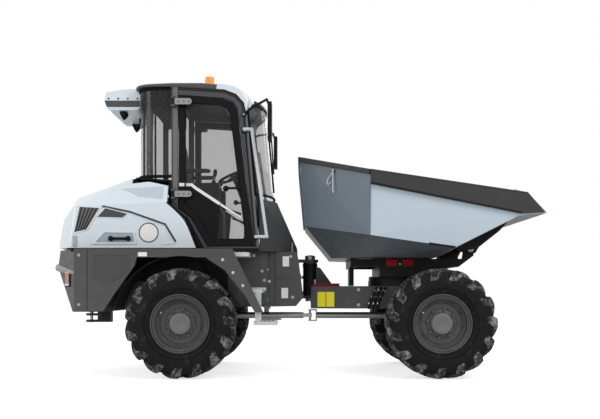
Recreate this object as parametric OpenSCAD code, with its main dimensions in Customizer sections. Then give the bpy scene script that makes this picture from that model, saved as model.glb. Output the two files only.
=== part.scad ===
// Articulated site dumper with a cab and a swivelling front skip.
// Millimetres. +X is forward, +Y is the machine's left, +Z is up, and the tyres stand on z = 0.

/* [Layout] */
// Distance from the rear axle to the front axle
wheelbase = 2530; // [2400:10:2700]
// Rear axle to the rearmost point of the counterweight
rear_overhang = 1320; // [1280:10:1400]
// Front axle to the tip of the skip's lip
front_overhang = 1010; // [960:10:1100]
// Distance between the middles of the left and right tyres
track = 1840; // [1800:10:1900]
// Clearance between a shaft and its bore, on the radius
running_gap = 0.05; // [0.02:0.01:0.1]
// Clearance between pieces that seat on each other
seat_gap = 0.3; // [0.1:0.1:0.5]

/* [Wheels] */
// Outside diameter of the tyre at the tips of its lugs
tyre_od = 1075; // [1040:5:1120]
// Width of the tyre across its side walls
tyre_w = 405; // [380:5:430]
// Depth of the tread lugs
lug_depth = 34; // [20:1:45]
// Number of lugs on each half of the tread
lug_count = 13; // [12:1:20]
// Diameter of the rim where the tyre's bead seats
bead_d = 508; // [490:2:520]
// Outside diameter of the rim's flange
flange_d = 572; // [560:2:590]
// Radius of the axle's spindle in the hub
spindle_r = 60; // [50:1:70]
// Pitch circle of the wheel nuts
nut_pcd = 275; // [260:5:290]

/* [Cab] */
// Width of the cab across its side frames
cab_w = 1320; // [1260:10:1360]
// Height of the cab's roof frame above the ground
cab_top_z = 2925; // [2880:5:2980]
// Height of the cab's floor
cab_floor_z = 1290; // [1280:5:1310]
// Thickness of the cab's side frames and doors
cab_side_t = 50; // [40:2:60]
// Thickness of the window glass
glass_t = 8; // [6:1:10]
// Gap around the doors
door_gap = 8; // [6:1:12]

/* [Skip] */
// Width of the skip across its top rails
skip_w = 2100; // [2040:10:2160]
// Width of the skip's back wall
skip_back_w = 900; // [840:10:960]
// Thickness of the skip's plates
skip_t = 12; // [8:1:16]
// Height of the skip's floor plate, outside
skip_floor_z = 1194; // [1190:1:1200]

/* [Pivots] */
// Slew axis, behind the front axle
slew_back = 290; // [270:5:310]
// Tip axis, ahead of the slew axis
tip_ahead = 671; // [660:1:680]
// Height of the tip axis
tip_z = 1292; // [1285:1:1300]
// Radius of the kingpin of the articulation
kingpin_r = 35; // [30:1:40]
// Radius of the tip pins
tip_pin_r = 25; // [20:1:30]

/* [Hidden] */
$fn = 48;
axle_z = tyre_od / 2;
length = rear_overhang + wheelbase + front_overhang;
rear_x = -length / 2;
front_x = length / 2;
rear_axle_x = rear_x + rear_overhang;
front_axle_x = rear_axle_x + wheelbase;
pivot_x = (rear_axle_x + front_axle_x) / 2;
slew_x = front_axle_x - slew_back;
tip_x = slew_x + tip_ahead;
cab_half = cab_w / 2;
wheel_y = track / 2;

// Heights of the two frames
rail_low_z = 690;
hitch_z = 650;
rail_top_z = 960;
front_low_z = 671;
front_top_z = 907;
ear_t = 30;
lower_ear_z = 775;
upper_ear_z = 1168;
tower_half = 400;
plate_t = 16;

// Steering ram, in plan, on the machine's left
steer_z = 1010;
steer_base = [pivot_x - 430, 165, steer_z];
steer_eye = [pivot_x + 125, 190, steer_z];
// Tip ram, in the middle plane
tip_base = [slew_x - 90, 0, 1052];
tip_eye = [slew_x + 470, 0, 1210];
ram_pin_r = 18;

// Body work
deck_z = 1264;
deck_t = 26;
panel_out = 1045;
panel_t = 55;
arch_r = 655;
hood_half = 790;
hood_low_z = deck_z + 21;
hood_t = 24;
hood_pivot = [rear_x + 50, deck_z + 32];
hood_pin_r = 9;

// Cab side outline
door_hinge_x = rear_axle_x - 118;
hinge_y = cab_half + 60;
hinge_r = 12;
post_a_low_x = rear_axle_x + 745;
tower_back_x = post_a_low_x + 20;
post_a_top_x = rear_axle_x + 622;

// Height of the propeller shaft
shaft_z = 594;

// Slew bearing and skip frame
bearing_r = 340;
bearing_in = 262;
bearing_h = 58;
slew_base_z = front_top_z + bearing_h + seat_gap;
beam_low_z = 1105;
beam_top_z = skip_floor_z - 5;
beam_y = 400;
beam_w = 60;

skip_rear_x = pivot_x - 111;
skip_fold_x = slew_x - 401;

light_paint = "#c6d5e0";
dark_paint = "#4b4c4e";
black_paint = "#1b1c1e";
rubber_black = "#141414";
glass_grey = "#9aa0a2";
steel_grey = "#8d9194";
signal_red = "#a31d22";

// Shared shapes

// Outline in the x-z plane, as thick as from y0 to y1
module slab(points, y0, y1) {
    translate([0, y1, 0]) rotate([90, 0, 0]) linear_extrude(y1 - y0) polygon(points);
}

// Outline in plan, from z0 up to z1
module plan(points, z0, z1) {
    translate([0, 0, z0]) linear_extrude(z1 - z0) polygon(points);
}

// Box between two corners
module block(low, high) {
    translate(low) cube(high - low);
}

// Round bar from one point to another
module bar(a, b, r) {
    v = b - a;
    translate(a) rotate([0, acos(v.z / norm(v)), atan2(v.y, v.x)]) cylinder(r = r, h = norm(v));
}

// Round bar across the machine
module cross_bar(x, z, y0, y1, r) {
    translate([x, y1, z]) rotate([90, 0, 0]) cylinder(r = r, h = y1 - y0);
}

// Convex body with the given corners
module solid_of(corners) {
    hull() polyhedron(points = corners, faces = [for (i = [0 : len(corners) - 3]) [i, i + 1, i + 2]]);
}

// The same piece on both sides
module both_sides() {
    children();
    mirror([0, 1, 0]) children();
}

function arc(centre, r, from, to, steps) =
    [for (i = [0 : steps]) let (a = from + (to - from) * i / steps) centre + r * [cos(a), sin(a)]];

// Wheels

tread_base = axle_z - lug_depth;
tyre_half = tyre_w / 2;
bead_r = bead_d / 2;
rim_half = 165;

// Half of the tyre's section under the lugs, as radius and distance from the tyre's middle
flange_r = flange_d / 2;
wall = tread_base - flange_r;
tyre_sides = 24;
tyre_profile = [
    [(bead_r + seat_gap) / cos(180 / tyre_sides), rim_half - 15.6], [flange_r + 1, rim_half - 1.5],
    [flange_r + 0.50 * wall, tyre_half], [tread_base, tyre_half - 40]];

function both_halves(p) = concat(p, [for (i = [len(p) - 1 : -1 : 0]) [p[i].x, -p[i].y]]);

// A turned piece about the wheel's axis, whose outer face looks to the machine's right
module on_axle(x, side) {
    translate([x, side * wheel_y, axle_z]) rotate([side > 0 ? -90 : 90, 0,
        0]) rotate_extrude($fn = 96) children();
}

// One bar lug, from the side wall over the shoulder to just past the middle of the tread
module lug(half_side, turn) {
    function at(r, y, a, w) = [for (b = [a - w, a + w]) [r * sin(b), half_side * y, r * cos(b)]];
    rotate([0, turn, 0]) solid_of(concat(at(tread_base - 60, tyre_half - 14, -9, 3.0),
        at(axle_z - 12, tyre_half - 18, -8.6, 3.0), at(axle_z, -18, 6, 2.6), at(tread_base - 60, -18,
            6, 3.0)));
}

module tyre(x, side) {
    color(rubber_black) {
        translate([x, side * wheel_y, axle_z]) rotate([90, 0, 0])
            rotate_extrude($fn = tyre_sides) polygon(both_halves(tyre_profile));
        translate([x, side * wheel_y, axle_z]) for (i = [0 : lug_count - 1]) {
            lug(1, 360 / lug_count * i);
            lug(-1, 360 / lug_count * (i + 0.5));
        }
    }
}

disc_out = 92;
disc_t = 18;
hub_r = 112;
hub_back = -130;
hub_end = 142;

module rim(x, side) {
    color(dark_paint) {
        on_axle(x, side) {
            // Barrel with its two flanges
            polygon([[bead_r - 14, -rim_half], [flange_d / 2, -rim_half - 10], [flange_d / 2, -rim_half],
                [bead_r, -rim_half + 14], [bead_r, rim_half - 14], [flange_d / 2, rim_half],
                [flange_d / 2, rim_half + 10], [bead_r - 14, rim_half], [bead_r - 14, disc_out + 30],
                [bead_r - 44, disc_out], [hub_r - 10, disc_out], [hub_r - 10, disc_out - disc_t],
                [bead_r - 38, disc_out - disc_t], [bead_r - 14, disc_out - 6]]);
            // Hub with its blind bore
            polygon([[spindle_r + running_gap, hub_back], [150, hub_back], [150, disc_out - disc_t],
                [hub_r, disc_out - disc_t], [hub_r, hub_end - 8], [hub_r - 8, hub_end], [0, hub_end],
                [0, hub_end - 18], [spindle_r + running_gap, hub_end - 18]]);
        }
        for (i = [0 : 7]) {
            translate([x, side * (wheel_y + disc_out), axle_z]) rotate([0, 45 * i + 10, 0])
                translate([nut_pcd / 2, 0, 0]) rotate([side > 0 ? -90 : 90, 0, 0]) cylinder(r = 17,
                    h = 24, $fn = 6);
        }
    }
}

casing_r = 128;
casing_nose = 170;

module axle(x, seat_z, nose) {
    color(black_paint) {
        cross_bar(x, axle_z, -(wheel_y + hub_end - 20), wheel_y + hub_end - 20, spindle_r);
        cross_bar(x, axle_z, -(wheel_y + hub_back - 6), wheel_y + hub_back - 6, 82);
        cross_bar(x, axle_z, -150, 150, casing_r);
        bar([x, 0, shaft_z], [x + nose * casing_nose, 0, shaft_z], 62);
        both_sides() block([x - 90, 290, axle_z], [x + 90, 350, seat_z]);
    }
}

// Rear frame

module tower_side() {
    slab([[tower_back_x, deck_z], [pivot_x - 140, deck_z], [pivot_x - 120, 1150], [pivot_x - 88, 896],
        [pivot_x - 73, 790], [pivot_x - 150, 698], [tower_back_x, rail_low_z]], tower_half - plate_t,
            tower_half);
}

module ear(z) {
    difference() {
        union() {
            translate([pivot_x, 0, z]) cylinder(r = 90, h = ear_t);
            plan([[tower_back_x + plate_t, -230], [pivot_x - 30, -86], [pivot_x - 30, 86],
                [tower_back_x + plate_t, 230]], z, z + ear_t);
        }
        translate([pivot_x, 0, z - 1]) cylinder(r = kingpin_r + running_gap, h = ear_t + 2);
    }
}

module rear_frame() {
    color(dark_paint) {
        both_sides() {
            slab([[rear_x + 250, rail_low_z], [tower_back_x + 1, rail_low_z], [tower_back_x + 1,
                rail_top_z],
                [rear_x + 250, rail_top_z]], 300, 340);
            tower_side();
        }
        block([tower_back_x, -tower_half, rail_low_z], [tower_back_x + plate_t, tower_half, deck_z]);
        for (x = [rear_axle_x - 700, rear_axle_x + 330]) block([x, -300, rail_low_z + 60], [x + 60,
            300, rail_top_z]);
        for (z = [lower_ear_z, upper_ear_z]) ear(z);
        // Bracket of the steering ram's fixed end, with its pin
        for (z = [steer_z - 62, steer_z + 42]) plan([[tower_back_x + plate_t, steer_base.y - 45],
            [steer_base.x + 30, steer_base.y - 30], [steer_base.x + 30, steer_base.y + 30],
            [tower_back_x + plate_t, steer_base.y + 45]], z, z + 20);
        translate([steer_base.x, steer_base.y, steer_z - 62]) cylinder(r = ram_pin_r, h = 124);
    }
}

module kingpin() {
    color(steel_grey) translate([pivot_x, 0, 0]) {
        translate([0, 0, lower_ear_z - 30]) cylinder(r = kingpin_r,
            h = upper_ear_z + ear_t + 30 - lower_ear_z);
        translate([0, 0, upper_ear_z + ear_t]) cylinder(r = 55, h = 40);
        translate([0, 0, lower_ear_z - 30]) cylinder(r = 50, h = 30 - seat_gap);
    }
}

module counterweight() {
    color(dark_paint) {
        intersection() {
            slab([[rear_x + 40, deck_z], [rear_x, 1098], [rear_x + 246, hitch_z], [rear_axle_x - 760,
                hitch_z],
                [rear_axle_x - 760, deck_z - deck_t], [rear_x + 210, deck_z - deck_t], [rear_x + 210,
                deck_z]],
                -panel_out, panel_out);
            difference() {
                plan([[rear_x, -560], [rear_x + 290, -panel_out + panel_t], [rear_axle_x - 760,
                    -panel_out + panel_t],
                    [rear_axle_x - 760, panel_out - panel_t], [rear_x + 290, panel_out - panel_t],
                    [rear_x, 560]],
                    600, deck_z + 1);
                // Clearance for the frame rails
                both_sides() block([rear_x + 250 - seat_gap, 300 - seat_gap, rail_low_z - seat_gap],
                    [rear_axle_x, 340 + seat_gap, rail_top_z + seat_gap]);
            }
        }
        // Brackets and pins of the hood's hinges
        both_sides() {
            block([hood_pivot.x - 9, 345, deck_z - 1], [hood_pivot.x + 16, 375, hood_pivot.y + 16]);
            cross_bar(hood_pivot.x, hood_pivot.y, 300, 346, hood_pin_r);
        }
    }
}

module tow_hitch() {
    color(black_paint) difference() {
        union() {
            for (z = [hitch_z - 60, hitch_z - 130]) plan([[rear_x + 200, -60], [rear_x + 150, -40],
                [rear_x + 150, 40], [rear_x + 200, 60], [rear_x + 420, 60], [rear_x + 420, -60]], z,
                    z + 25);
            block([rear_x + 280, -60, hitch_z - 130], [rear_x + 420, 60, hitch_z]);
        }
        translate([rear_x + 200, 0, hitch_z - 131]) cylinder(r = 16, h = 100);
    }
}

module arch_cut() {
    translate([rear_axle_x, 0, axle_z]) rotate([90, 0, 0]) cylinder(r = arch_r, h = 3000,
        center = true, $fn = 96);
}

module side_panel() {
    color(dark_paint) difference() {
        union() {
            // Outer skin with the arch's straight rear edge and the strut that leads down to the steps
            slab([[rear_x + 290, deck_z], [rear_x + 290, 652], [rear_axle_x - 757, 660],
                [rear_axle_x - 446, 1095],
                [rear_axle_x - 420, 1180], [rear_axle_x + 240, 1180], [rear_axle_x + 428, 1056],
                [rear_axle_x + 622, 813], [rear_axle_x + 720, 648], [rear_axle_x + 800, 648],
                [rear_axle_x + 500, deck_z]], panel_out - panel_t, panel_out);
            // Deck over the wheel
            block([rear_x + 290, 560, deck_z - deck_t], [rear_axle_x + 500, panel_out - panel_t, deck_z]);
        }
        arch_cut();
    }
}

module battery_block() {
    color(black_paint) block([rear_axle_x - 755, -340, rail_top_z], [rear_axle_x - 180, 340, 1600]);
}

module rear_lamps() {
    chamfer = atan2(panel_out - panel_t - 560, 290);
    color(signal_red) both_sides() translate([rear_x, 560, 0]) rotate([0, 0, chamfer])
        block([255, 0, 930], [365, 14, 1030]);
}

// Hood

module hood_outer(inset) {
    low = hood_low_z - (inset > 0 ? 5 : 0);
    half = hood_half - inset;
    hull() for (s = [-1, 1]) {
        // Rear face, leaning forward
        translate([rear_x + 70 + inset, s * (half - 190), low]) cylinder(r = 40, h = 60, $fn = 24);
        translate([rear_x + 110 + inset, s * (half - 200), 1560]) cylinder(r = 40, h = 20, $fn = 24);
        translate([rear_x + 240 + inset, s * (half - 240), 1780 - inset]) cylinder(r = 40, h = 20,
            $fn = 24);
        // Shoulder under the rear window
        translate([rear_axle_x - 520, s * (half - 190), 1975 - inset]) cylinder(r = 40, h = 20, $fn = 24);
        translate([rear_axle_x - 180, s * (half - 110), 1890 - inset]) cylinder(r = 40, h = 20, $fn = 24);
        // Flat side
        translate([rear_axle_x - 180, s * (half - 40), 1720 - inset]) cylinder(r = 40, h = 20, $fn = 24);
        translate([rear_axle_x + 170, s * (half - 40), low]) cylinder(r = 40, h = 20, $fn = 24);
        translate([rear_x + 200 + inset, s * (half - 40), low]) cylinder(r = 40, h = 60, $fn = 24);
        translate([rear_x + 250 + inset, s * (half - 40), 1680 - inset]) cylinder(r = 40, h = 20,
            $fn = 24);
    }
}

module hood_body() {
    difference() {
            hood_outer(0);
            hood_outer(hood_t);
            // Front edge, cut along the cab's lower rear corner
            slab([[rear_axle_x - 170, 2200], [rear_axle_x - 170, 1735], [rear_axle_x - 75, 1655],
                [rear_axle_x + 10, 1575], [rear_axle_x + 150, 1200], [rear_axle_x + 900, 1200],
                [rear_axle_x + 900, 2200]], -1000, 1000);
            // The cab's back stands inside the hood's wings
            block([rear_axle_x - 540, -cab_half - 14, 1200], [rear_axle_x + 900, cab_half + 14, 2300]);
            // Room for the door's hinge straps as the hood lifts
            block([rear_axle_x - 130, -hinge_y - 32, 1200], [rear_axle_x + 900, hinge_y + 32, 2300]);
            // Notches for the hinge brackets and pins
            both_sides() {
                block([rear_x, 339, 1200], [rear_x + 100, 381, hood_pivot.y + 34]);
                cross_bar(hood_pivot.x, hood_pivot.y, 290, 346, hood_pin_r + 8);
            }
        }
}

// The hood's shell between its flat sides, with the eyes of its hinges
module hood() {
    inside = hood_half - hood_t - seat_gap;
    color(light_paint) {
        intersection() {
            hood_body();
            block([rear_x, -inside, 1000], [front_x, inside, 3000]);
        }
        both_sides() difference() {
            cross_bar(hood_pivot.x, hood_pivot.y, 304, 336, hood_pin_r + 11);
            cross_bar(hood_pivot.x, hood_pivot.y, 290, 346, hood_pin_r + running_gap);
        }
    }
}

module hood_side() {
    color(light_paint) intersection() {
        hood_body();
        block([rear_x, hood_half - hood_t, 1000], [front_x, hood_half + 10, 3000]);
    }
}

module hood_grilles() {
    color(black_paint) both_sides() slab([[rear_x + 262, 1690], [rear_x + 450, 1650], [rear_x + 225,
        1440]],
        hood_half, hood_half + 5);
}

module hood_latches() {
    color(black_paint) both_sides() block([rear_axle_x - 710, hood_half, hood_low_z + 55],
        [rear_axle_x - 560, hood_half + 18, hood_low_z + 105]);
}

// Cab

door_outline = [
    [rear_axle_x - 70, 2835], [rear_axle_x + 370, 2805], [rear_axle_x + 470, 2770],
        [rear_axle_x + 520, 2700],
    [rear_axle_x + 690, 1312], [rear_axle_x + 225, 1312], [rear_axle_x + 60, 1600], [rear_axle_x - 70,
        1700]];

door_window = [
    [rear_axle_x - 10, 2770], [rear_axle_x + 350, 2745], [rear_axle_x + 420, 2715],
        [rear_axle_x + 455, 2660],
    [rear_axle_x + 615, 1375], [rear_axle_x + 262, 1375], [rear_axle_x + 100, 1645],
        [rear_axle_x - 10, 1735]];

side_outline = [
    [post_a_low_x, cab_floor_z], [post_a_top_x, 2640], [post_a_top_x - 30, 2760], [post_a_top_x - 110,
        2850],
    [post_a_top_x - 230, 2895], [rear_axle_x - 60, cab_top_z], [rear_axle_x - 145, cab_top_z],
    [rear_axle_x - 145, 1705], [rear_axle_x + 20, 1600], [rear_axle_x + 185, cab_floor_z]];

module cab_frame() {
    color(dark_paint) {
        both_sides() difference() {
            slab(side_outline, cab_half - cab_side_t, cab_half);
            slab([for (p = door_outline) [p.x + (p.x > rear_axle_x + 300 ? door_gap : -door_gap),
                p.y + (p.y > 2000 ? door_gap : -door_gap)]], 0, 2000);
        }
        // Roof cross members, front and rear
        block([post_a_top_x - 150, -cab_half + cab_side_t, 2768], [post_a_top_x - 90,
            cab_half - cab_side_t, 2826]);
        block([rear_axle_x - 145, -cab_half + cab_side_t, 2850], [rear_axle_x - 85,
            cab_half - cab_side_t, cab_top_z]);
        // Hinge brackets and pins of the doors
        both_sides() for (z = [hinge_low_z, hinge_high_z]) {
            for (e = [z - 50, z + 31]) block([door_hinge_x - 22, cab_half - 1, e], [door_hinge_x + 22,
                hinge_y + 20, e + 19]);
            translate([door_hinge_x, hinge_y, z - 50]) cylinder(r = hinge_r, h = 100);
        }
        // Rear posts behind the seat and the rails that tie them to the roof
        both_sides() {
            block([rear_axle_x - 420, 480, 2010], [rear_axle_x - 360, 540, cab_top_z]);
            block([rear_axle_x - 360, 480, cab_top_z - 60], [rear_axle_x - 145, 540, cab_top_z]);
        }
    }
}

module cab_tub() {
    color(black_paint) {
        // Floor
        block([rear_axle_x + 190, -cab_half, deck_z], [post_a_low_x, cab_half, cab_floor_z]);
        // Stepped bulkhead behind the seat
        slab([[rear_axle_x + 178, deck_z], [rear_axle_x + 191, deck_z], [rear_axle_x + 191, cab_floor_z],
            [rear_axle_x + 183, cab_floor_z], [rear_axle_x + 20, 1598], [rear_axle_x - 147, 1703],
            [rear_axle_x - 147, 1980], [rear_axle_x - 500, 2005], [rear_axle_x - 500, 1990],
            [rear_axle_x - 165, 1965], [rear_axle_x - 165, 1690], [rear_axle_x + 5, 1585]], -cab_half,
            cab_half);
    }
}

module cab_roof() {
    color(light_paint) difference() {
        union() {
            slab([[post_a_top_x - 6, 2664], [post_a_top_x - 30, 2760], [post_a_top_x - 110, 2850],
                [post_a_top_x - 230, 2895], [rear_axle_x - 60, cab_top_z],
                [rear_axle_x - 530, cab_top_z], [rear_axle_x - 530, cab_top_z + 25],
                [rear_axle_x - 140, cab_top_z + 43], [rear_axle_x + 260, cab_top_z + 40],
                [post_a_top_x - 190, cab_top_z + 12], [post_a_top_x - 85, 2880],
                [post_a_top_x, 2776], [post_a_top_x + 26, 2672]], -cab_half, cab_half);
            // Bowed header over the windshield
            plan(concat(arc([post_a_low_x - 1177, 0], 1228, -29, 29, 12),
                [[post_a_top_x - 50, cab_half - cab_side_t - 4],
                [post_a_top_x - 50, 4 + cab_side_t - cab_half]]), 2788, 2812);
        }
        // Groove that takes the top of the glass
        front_pane(0.3);
    }
}

module roof_unit() {
    color(light_paint) slab([[rear_axle_x - 505, 2760], [rear_axle_x - 505, cab_top_z],
        [rear_axle_x - 531, cab_top_z],
        [rear_axle_x - 531, 2958], [rear_axle_x - 620, 2958], [rear_axle_x - 860, 2925],
        [rear_axle_x - 876, 2840],
        [rear_axle_x - 850, 2760]], -430, 430);
}

module beacon() {
    color("orange") translate([rear_axle_x + 220, -430, cab_top_z + 41]) {
        cylinder(r = 62, h = 30);
        translate([0, 0, 30]) cylinder(r1 = 56, r2 = 50, h = 90);
    }
}

// Front glass, bowed in plan and leaning back with the front posts
lean = atan2(post_a_low_x - post_a_top_x, 2640 - cab_floor_z);
module front_pane(ease) {
    half = 31 + ease / 20;
    bow = arc([-1010, 0], 1230 + ease, -half, half, 12);
    inner = arc([-1010, 0], 1230 - glass_t - ease, half, -half, 12);
    translate([post_a_low_x - 37, 0, cab_floor_z]) rotate([0, -lean, 0])
        plan(concat(bow, inner), 545 - ease, 1480 + ease);
}

module windshield() {
    color(glass_grey) front_pane(0);
}

module rear_glass() {
    outer = concat([[rear_axle_x - 150, -cab_half + 30]], arc([rear_axle_x - 300, -cab_half + 230],
        200, -110, -180, 6),
        arc([rear_axle_x - 300, cab_half - 230], 200, 180, 110, 6), [[rear_axle_x - 150, cab_half - 30]]);
    color(glass_grey) difference() {
        plan(outer, 2012, cab_top_z - 4);
        plan([for (p = outer) [p.x + glass_t, p.y * (1 - glass_t / cab_half)]], 2000, cab_top_z + 10);
        block([rear_axle_x - 145.3, -cab_half, 1900], [rear_axle_x, cab_half, 3000]);
    }
}

module front_cowl() {
    color(dark_paint) solid_of([for (s = [-1, 1]) each [[post_a_low_x, s * (cab_half - 10), deck_z],
        [pivot_x - 135, s * 170, deck_z], [pivot_x - 140, s * 170, cab_floor_z + 20],
        [post_a_low_x, s * (cab_half - 60), 1800], [pivot_x - 355, s * 180, 1800]]]);
}

// The straight strip between the doors' hinge pins and the side frame
hinge_low_z = 1830;
hinge_high_z = 2760;

module door(side) {
    pin_y = side * hinge_y;
    color(black_paint) {
        difference() {
            slab(door_outline, side > 0 ? cab_half - cab_side_t : -cab_half,
                side > 0 ? cab_half : -cab_half + cab_side_t);
            slab(door_window, -2000, 2000);
        }
        for (z = [hinge_low_z, hinge_high_z]) difference() {
            union() {
                translate([door_hinge_x, pin_y, z - 30]) cylinder(r = hinge_r + 9, h = 60);
                block([door_hinge_x, side > 0 ? hinge_y - 8 : -hinge_y - 8, z - 28],
                    [rear_axle_x + 60, side > 0 ? hinge_y + 8 : -hinge_y + 8, z + 28]);
                block([rear_axle_x - 40, side > 0 ? cab_half - 1 : -hinge_y - 8, z - 28],
                    [rear_axle_x + 60, side > 0 ? hinge_y + 8 : -cab_half + 1, z + 28]);
            }
            translate([door_hinge_x, pin_y, z - 40]) cylinder(r = hinge_r + running_gap, h = 80);
        }
    }
}

module door_glass(side) {
    y = side * (cab_half - 20);
    color(glass_grey) slab(door_window, y - glass_t / 2, y + glass_t / 2);
}

module seat_base() {
    color(black_paint) slab([[rear_axle_x + 205, cab_floor_z], [rear_axle_x + 330, cab_floor_z],
        [rear_axle_x + 330, 1700], [rear_axle_x + 230, 1840], [rear_axle_x - 135, 1840],
            [rear_axle_x - 135, 1725],
        [rear_axle_x + 35, 1614]], -200, 200);
}

module seat_cushion() {
    color(rubber_black) hull() for (x = [rear_axle_x - 70, rear_axle_x + 220], y = [-180, 180])
        translate([x, y, 1840]) cylinder(r = 60, h = 110, $fn = 24);
}

module seat_back() {
    color(rubber_black) translate([rear_axle_x - 120, 0, 1970.5]) rotate([0, -8, 0])
        hull() for (z = [40, 460], y = [-170, 170]) translate([0, y, z]) rotate([0, 90,
            0]) cylinder(r = 60, h = 90, $fn = 24);
}

module dashboard() {
    color(black_paint) {
        block([post_a_low_x - 190, -170, cab_floor_z], [post_a_low_x - 60, 170, 1780]);
        bar([post_a_low_x - 150, 0, 1740], [post_a_low_x - 300, 0, 2110], 38);
    }
}

module steering_wheel() {
    color(rubber_black) translate([post_a_low_x - 300.1, 0, 2110.3]) rotate([0, -22, 0]) {
        rotate_extrude($fn = 48) translate([180, 0]) circle(r = 15, $fn = 24);
        cylinder(r = 45, h = 24);
        for (a = [0, 120, 240]) rotate([0, 0, a]) block([30, -14, 2], [172, 14, 16]);
    }
}

// Bent tube through a list of points
module tube_path(points, r) {
    for (i = [0 : len(points) - 2]) hull() for (p = [points[i],
        points[i + 1]]) translate(p) sphere(r = r, $fn = 16);
}

module mirrors() {
    head_x = rear_axle_x + 862;
    color(black_paint) both_sides() {
        block([rear_axle_x + 570, cab_half, 2620], [rear_axle_x + 610, cab_half + 25, 2660]);
        tube_path([[rear_axle_x + 590, cab_half + 15, 2640], [rear_axle_x + 662, cab_half + 60, 2690],
            [rear_axle_x + 830, cab_half + 220, 2745], [head_x, cab_half + 240, 2650]], 12);
        block([head_x - 20, cab_half + 150, 2330], [head_x + 20, cab_half + 330, 2700]);
    }
}

module handrails() {
    rail_y = cab_half + 70;
    top = [rear_axle_x + 672, rail_y, 2480];
    foot = [rear_axle_x + 823, rail_y, 1400];
    color(steel_grey) both_sides() {
        bar(top, foot, 16);
        bar([rear_axle_x + 598, rail_y, 2480], top, 16);
        bar([rear_axle_x + 714, rail_y, 1400], foot, 16);
        cross_bar(rear_axle_x + 598, 2480, cab_half, rail_y, 16);
        cross_bar(rear_axle_x + 714, 1400, cab_half, rail_y, 16);
        for (p = [top, foot, [rear_axle_x + 598, rail_y, 2480], [rear_axle_x + 714, rail_y, 1400]])
            translate(p) sphere(r = 18, $fn = 24);
    }
}

module steps() {
    skin_y = panel_out - panel_t;
    color(steel_grey) both_sides() {
        block([rear_axle_x + 410, 700, 1190], [rear_axle_x + 660, skin_y, 1230]);
        block([rear_axle_x + 620, tower_half, 835], [rear_axle_x + 790, skin_y, 870]);
        block([rear_axle_x + 705, 600, 520], [rear_axle_x + 930, 1000, 555]);
        block([rear_axle_x + 720, 950, 520], [rear_axle_x + 780, 985, 836]);
    }
}

module work_lamps() {
    color(black_paint) both_sides() translate([rear_axle_x - 700, 330, 2715]) cylinder(r = 45, h = 45);
}

// Front frame

module front_frame() {
    color(dark_paint) difference() {
        union() {
            plan([[pivot_x + 8, -250], [pivot_x + 450, -360], [front_axle_x + 330, -360],
                [front_axle_x + 330, 360],
                [pivot_x + 450, 360], [pivot_x + 8, 250]], front_low_z, front_top_z);
            translate([pivot_x, 0, lower_ear_z + ear_t + seat_gap])
                cylinder(r = 75, h = upper_ear_z - lower_ear_z - ear_t - 2 * seat_gap);
            slab([[pivot_x + 40, front_top_z - 5], [pivot_x + 40, upper_ear_z - 40], [pivot_x + 110,
                upper_ear_z - 60],
                [pivot_x + 260, front_top_z - 5]], -40, 40);
            // Bracket of the steering ram's rod
            block([steer_eye.x - 30, steer_eye.y - 40, front_top_z - 5], [steer_eye.x + 60,
                steer_eye.y + 40, steer_z - 50]);
        }
        // Room for the rear frame's lower ear
        difference() {
            translate([pivot_x, 0, lower_ear_z - 40]) cylinder(r = 110, h = ear_t + 50);
            translate([pivot_x, 0, lower_ear_z + ear_t + seat_gap]) cylinder(r = 75, h = 100);
        }
        plan([[pivot_x - 400, -500], [pivot_x + 10, -130], [pivot_x + 10, 130], [pivot_x - 400, 500]],
            lower_ear_z - 40, lower_ear_z + ear_t + seat_gap);
        translate([pivot_x, 0, 600]) cylinder(r = kingpin_r + running_gap, h = 700);
    }
}

module slew_bearing() {
    color(steel_grey) translate([slew_x, 0, front_top_z]) difference() {
        cylinder(r = bearing_r, h = bearing_h, $fn = 96);
        translate([0, 0, -1]) cylinder(r = bearing_in, h = bearing_h + 2, $fn = 96);
    }
}

module lock_bar() {
    color(signal_red) block([pivot_x + 28, -240, front_top_z], [pivot_x + 310, -190, front_top_z + 30]);
}

// Propeller shaft in two halves, with a cross joint on the articulation's axis

module propshaft_rear() {
    color(steel_grey) {
        bar([rear_axle_x + casing_nose, 0, shaft_z], [pivot_x - 70, 0, shaft_z], 34);
        both_sides() block([pivot_x - 75, 38, shaft_z - 20], [pivot_x + 20, 52, shaft_z + 20]);
        block([pivot_x - 75, -52, shaft_z - 20], [pivot_x - 60, 52, shaft_z + 20]);
        cross_bar(pivot_x, shaft_z, -50, 50, 12);
        bar([pivot_x, 0, shaft_z - 50], [pivot_x, 0, shaft_z + 50], 12);
    }
}

module propshaft_front() {
    color(steel_grey) {
        bar([pivot_x + 70, 0, shaft_z], [front_axle_x - casing_nose, 0, shaft_z], 34);
        block([pivot_x + 60, -20, shaft_z - 66], [pivot_x + 75, 20, shaft_z + 66]);
        for (z = [shaft_z - 66, shaft_z + 51]) difference() {
            block([pivot_x - 20, -20, z], [pivot_x + 70, 20, z + 15]);
            translate([pivot_x, 0, z - 1]) cylinder(r = 12 + running_gap, h = 17);
        }
    }
}

// Slew frame

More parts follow.
